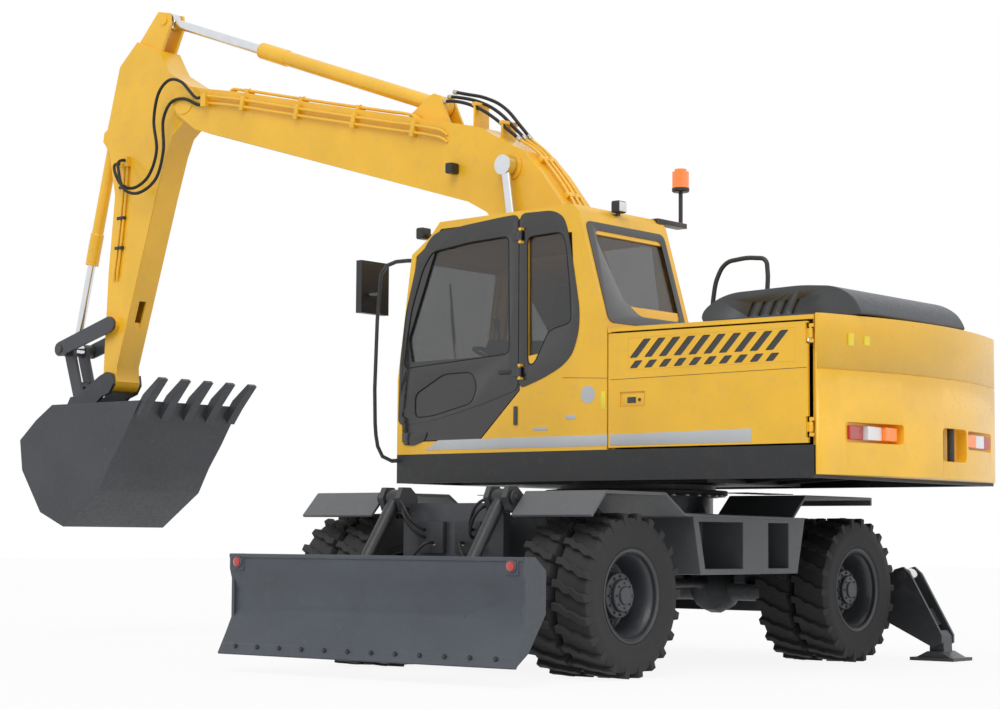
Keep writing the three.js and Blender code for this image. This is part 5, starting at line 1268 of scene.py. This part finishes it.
class EXCAVATOR_OT_tail(bpy.types.Operator):
    """The cast counterweight with its groove, lamps, tow pin, lifting eye and blank plates."""

    bl_idname = "excavator.tail"
    bl_label = "Counterweight"

    def execute(self, context):
        body = sheet(tail_line(), 1.293, 2.306, "z", 0)
        pockets = [sheet(rounded([(s * 0.44, 1.5), (s * 0.99, 1.5), (s * 0.99, 1.626), (s * 0.44, 1.626)],
                                 0.03), -2.6, -2.325, "x", 0) for _side, s in SIDES]
        tow = sheet(rounded([(-0.415, 1.41), (-0.035, 1.41), (-0.035, 1.63), (-0.415, 1.63)], 0.04), -2.6,
                    -2.37, "x", 0)
        body = crown(cut(body, *pockets, tow), 0.022)
        ring = cut(block((-2.8, -1.4, 1.953), (-2.25, 1.4, 1.96), 0),
                   sheet(tail_line(0.006), 1.9, 2.0, "z", 0))
        put(cut(body, ring), "counterweight_cast", "house", "yellow", HOUSE, ("counterweight",))
        for side, s in SIDES:
            for i, (a, b, finish) in enumerate(((0.47, 0.62, "orange"), (0.625, 0.79, "clear"),
                                                (0.795, 0.96, "red"))):
                x = tail_x((a + b) / 2) + 0.016
                lamp = crown(block((x, s * a, 1.518), (x + 0.06, s * b, 1.608), 0), 0.008, 3)
                put(lamp, f"tail_lamp_{side}_{i}", "house", finish)
        pin = rod((-2.425, -0.225, 1.4), (-2.425, -0.225, 1.64), 0.024, 28, 0.004)
        put(pin, "tow_pin", "house", "axle")
        eye = turned([(0.026, -0.016), (0.05, -0.016), (0.056, -0.008), (0.056, 0.008), (0.05, 0.016),
                      (0.026, 0.016), (0.026, -0.016)], (-2.335, -0.05, 2.35), 40, "x")
        foot = block((-2.365, -0.1, 2.302), (-2.305, 0.0, 2.312), 0.004)
        put(join(eye, foot), "lifting_eye", "house", "yellow")
        for i, (y0, z0, y1, z1) in enumerate(((0.87, 2.11, 0.97, 2.19), (0.73, 2.12, 0.83, 2.18))):
            x = tail_x((y0 + y1) / 2)
            put(block((x - 0.001, y0, z0), (x + 0.012, y1, z1), 0.0008, 1), f"tail_tag_{i}", "house", "label")
        return {"FINISHED"}


class EXCAVATOR_OT_hood(bpy.types.Operator):
    """The rounded engine hood with its slots, and its handrail."""

    bl_idname = "excavator.hood"
    bl_label = "Engine hood"

    def execute(self, context):
        opts = context.scene.excavator
        side = [(-1.2, 2.316), (-1.168, 2.362), (-1.2, 2.42), (-1.3, 2.48), (-1.42, 2.514), (-1.95, 2.53),
                (-2.2, 2.51), (-2.33, 2.44), (-2.388, 2.35), (-2.392, 2.312)]
        body = crown(sheet(rounded(side, 0.07), -0.512, 0.893, "y", 0), 0.05, 5)
        tools = []
        for i in range(5):
            x = -1.53 - 0.085 * i
            slot = [(x, 2.345), (x - 0.03, 2.345), (x - 0.075, 2.44), (x - 0.045, 2.44)]
            tools += [flush(rounded(slot, 0.01, 3), a, a + 0.05, 0) for a in (0.872, -0.541)]
        for i in range(opts.slats):
            x = -1.42 - 0.7 * i / (opts.slats - 1)
            tools.append(block((x - 0.014, -0.32, 2.506), (x + 0.014, 0.62, 2.6), 0))
        put(cut(body, *tools), "hood_cover", "hood", "hood", HOUSE, ("engine_hood",))
        rail = [(-1.2, 0.8, 2.36), (-1.21, 0.8, 2.5), (-1.25, 0.8, 2.65), (-1.312, 0.8, 2.725),
                (-1.4, 0.8, 2.745), (-1.55, 0.8, 2.745), (-1.62, 0.8, 2.725), (-1.637, 0.8, 2.66),
                (-1.635, 0.8, 2.51)]
        foot = rod((-1.635, 0.8, 2.519), (-1.635, 0.8, 2.519 + 0.008), 0.034, 24, 0.003)
        put(join(line_tube(rail, 0.0155, True, 5), foot), "hood_rail", "hood", "black")
        return {"FINISHED"}


# ---------------------------------------------------------------- boom and arm lines
BOOM_TOP = [(0.4, 2.7), (0.675, 3.421), (0.874, 3.677), (1.027, 3.839), (1.249, 3.957), (1.493, 4.086),
            (1.775, 4.148), (2.954, 4.412), (4.246, 4.707), (4.643, 4.782)]
BOOM_SKIN = EQUIP_Y + 0.188
ARM_SKIN = EQUIP_Y + 0.13
PIPE_R = 0.0125


def boom_top(x):
    """The height of the boom's back and top edge at x."""
    for (x0, z0), (x1, z1) in zip(BOOM_TOP, BOOM_TOP[1:]):
        if x <= x1:
            return z0 + (z1 - z0) * (x - x0) / (x1 - x0)
    return BOOM_TOP[-1][1]


def clamp(x, y, z, wide, high, rise):
    """A clamp block with its bolt, square to a line that climbs at an angle."""
    head = rod((0, 0, high), (0, 0, high + 0.008), 0.009, 6)
    piece = join(block((-0.022, -wide, -high), (0.022, wide, high), 0.004), head)
    return moved(piece, Matrix.Translation((x, y, z)) @ Matrix.Rotation(-rise, 4, "Y"))


class EXCAVATOR_OT_lines(bpy.types.Operator):
    """Steel pipes, clamps and clamped hoses along the boom and the arm."""

    bl_idname = "excavator.lines"
    bl_label = "Boom and arm lines"

    def execute(self, context):
        opts = context.scene.excavator
        pipes, clamps, hoses, nuts = [], [], [], []
        slope = radians(12.7)
        for y_port, drop in ((0.09, 0.066), (0.062, 0.124)):
            run = [(4.52, y_port, boom_top(4.52) - drop), (4.4, BOOM_SKIN + 0.026, boom_top(4.4) - drop)]
            run += [(x, BOOM_SKIN + 0.026, boom_top(x) - drop) for x in (4.25, 3.6, 2.954, 2.4, 1.95)]
            run += [(1.85, BOOM_SKIN + 0.02, boom_top(1.85) - drop - 0.01),
                    (1.81, BOOM_SKIN + 0.001, 4.12 - drop)]
            pipes.append(line_tube(run, PIPE_R, True, 3))
        for y in (0.004, -0.036):
            run = [(4.32, y, boom_top(4.32) - 0.005), (4.29, y, boom_top(4.29) + 0.018)]
            run += [(x, y, boom_top(x) + 0.024) for x in (4.2, 3.4, 2.954, 2.5, 2.26)]
            run += [(2.2, y, boom_top(2.2) + 0.016), (2.17, y, boom_top(2.17) - 0.005)]
            pipes.append(line_tube(run, PIPE_R, True, 3))
        for x in (4.1, 3.45, 2.8, 2.15):
            clamps.append(clamp(x, BOOM_SKIN + 0.02, boom_top(x) - 0.095, 0.024, 0.062, slope))
            if x > 2.2:
                clamps.append(clamp(x, -0.016, boom_top(x) + 0.018, 0.045, 0.022, slope))
        for k in range(3):
            y = -0.215 + 0.065 * k
            bend = [(1.965, y, 4.46 - 0.05 * k), (1.85, y, 4.43 - 0.04 * k), (1.62, y, 4.365 - 0.045 * k),
                    (1.44, y, 4.27 - 0.05 * k), (1.27, y, 4.1 - 0.03 * k), (1.165, y, 3.985 - 0.012 * k)]
            hoses.append(line_tube(bend, opts.hose, True, 4))
            down = [(1.165, y, 3.985 - 0.012 * k), (1.0, y, 3.855), (0.86, y, 3.705), (0.72, y, 3.53),
                    (0.63, y, 3.4), (0.55, y, 3.19), (0.52, y, 3.1), (0.535, y, 3.03)]
            pipes.append(line_tube(down, PIPE_R, True, 3))
            nuts.append(rod(bend[0], Vector(bend[0]).lerp(Vector(bend[1]), 0.35), 0.02, 6, 0.002))
            nuts.append(rod(bend[-1], Vector(bend[-1]).lerp(Vector(bend[-2]), 0.3), 0.02, 6, 0.002))
        for x, stand in ((1.62, 0.2), (1.34, 0.13)):
            top = boom_top(x)
            clamps.append(block((x - 0.008, -0.24, top - 0.01), (x + 0.008, -0.06, top + stand), 0.003))
            clamps.append(block((x - 0.022, -0.245, top + stand - 0.03), (x + 0.022, -0.055, top + stand),
                                0.006))
        for x in (0.95, 0.7):
            clamps.append(clamp(x, EQUIP_Y, boom_top(x) + 0.03, 0.095, 0.022, radians(48)))
        for shift in (0.0, 0.045):
            run = [(5.64 + shift, ARM_SKIN + 0.02, 4.205), (5.645 + shift, ARM_SKIN + 0.017, 4.1),
                   (5.67 + shift, ARM_SKIN + 0.016, 3.8), (5.72 + shift, ARM_SKIN + 0.016, 3.4),
                   (5.75 + shift, ARM_SKIN + 0.012, 3.2), (5.755 + shift, ARM_SKIN + 0.001, 3.17)]
            put(line_tube(run, PIPE_R, True, 3), f"arm_pipe_{round(shift * 1000)}", "arm", "yellow")
        straps = [block((5.64 + 0.02 * k, ARM_SKIN, z), (5.74 + 0.02 * k, ARM_SKIN + 0.03, z + 0.03), 0.004)
                  for k, z in enumerate((4.0, 3.72, 3.45))]
        put(join(*straps), "arm_clamps", "arm", "black")
        put(join(*pipes), "boom_pipes", "boom", "yellow")
        put(join(*clamps), "boom_clamps", "boom", "yellow")
        put(join(*hoses), "boom_bend_hoses", "boom", "hose")
        put(join(*nuts), "boom_fittings", "boom", "steel")
        return {"FINISHED"}


# ---------------------------------------------------------------- order of work
ORDER = ["stage", "free_hoses", "framework", "tyres", "rims", "cylinders", "blade", "nose_hoses",
         "chassis_trim", "house_trim", "cab", "seat", "tail", "hood", "lines"]
CLASSES = [c for c in list(globals().values()) if isinstance(c, type) and c.__module__ == __name__
           and issubclass(c, bpy.types.Operator)]


class EXCAVATOR_PT_build(bpy.types.Panel):
    """Sizes, colours and the pieces in the order that they are made."""

    bl_label = "Excavator"
    bl_idname = "EXCAVATOR_PT_build"
    bl_space_type = "VIEW_3D"
    bl_region_type = "UI"
    bl_category = "Excavator"

    def draw(self, context):
        for name in ExcavatorSizes.__annotations__:
            self.layout.prop(context.scene.excavator, name)
        for name in ORDER:
            self.layout.operator("excavator." + name)


def register():
    for cls in (ExcavatorSizes, *CLASSES, EXCAVATOR_PT_build):
        bpy.utils.register_class(cls)
    bpy.types.Scene.excavator = PointerProperty(type=ExcavatorSizes)


def unregister():
    del bpy.types.Scene.excavator
    for cls in reversed((ExcavatorSizes, *CLASSES, EXCAVATOR_PT_build)):
        bpy.utils.unregister_class(cls)


def main():
    register()
    mix_materials(bpy.context.scene.excavator)
    for name in ORDER:
        getattr(bpy.ops.excavator, name)()
    with open("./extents.json", "w") as out:
        json.dump({"cad": [list(v) for v in CAD_BOX], "visual": [list(v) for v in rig.bounds()]}, out)


if __name__ == "__main__":
    main()
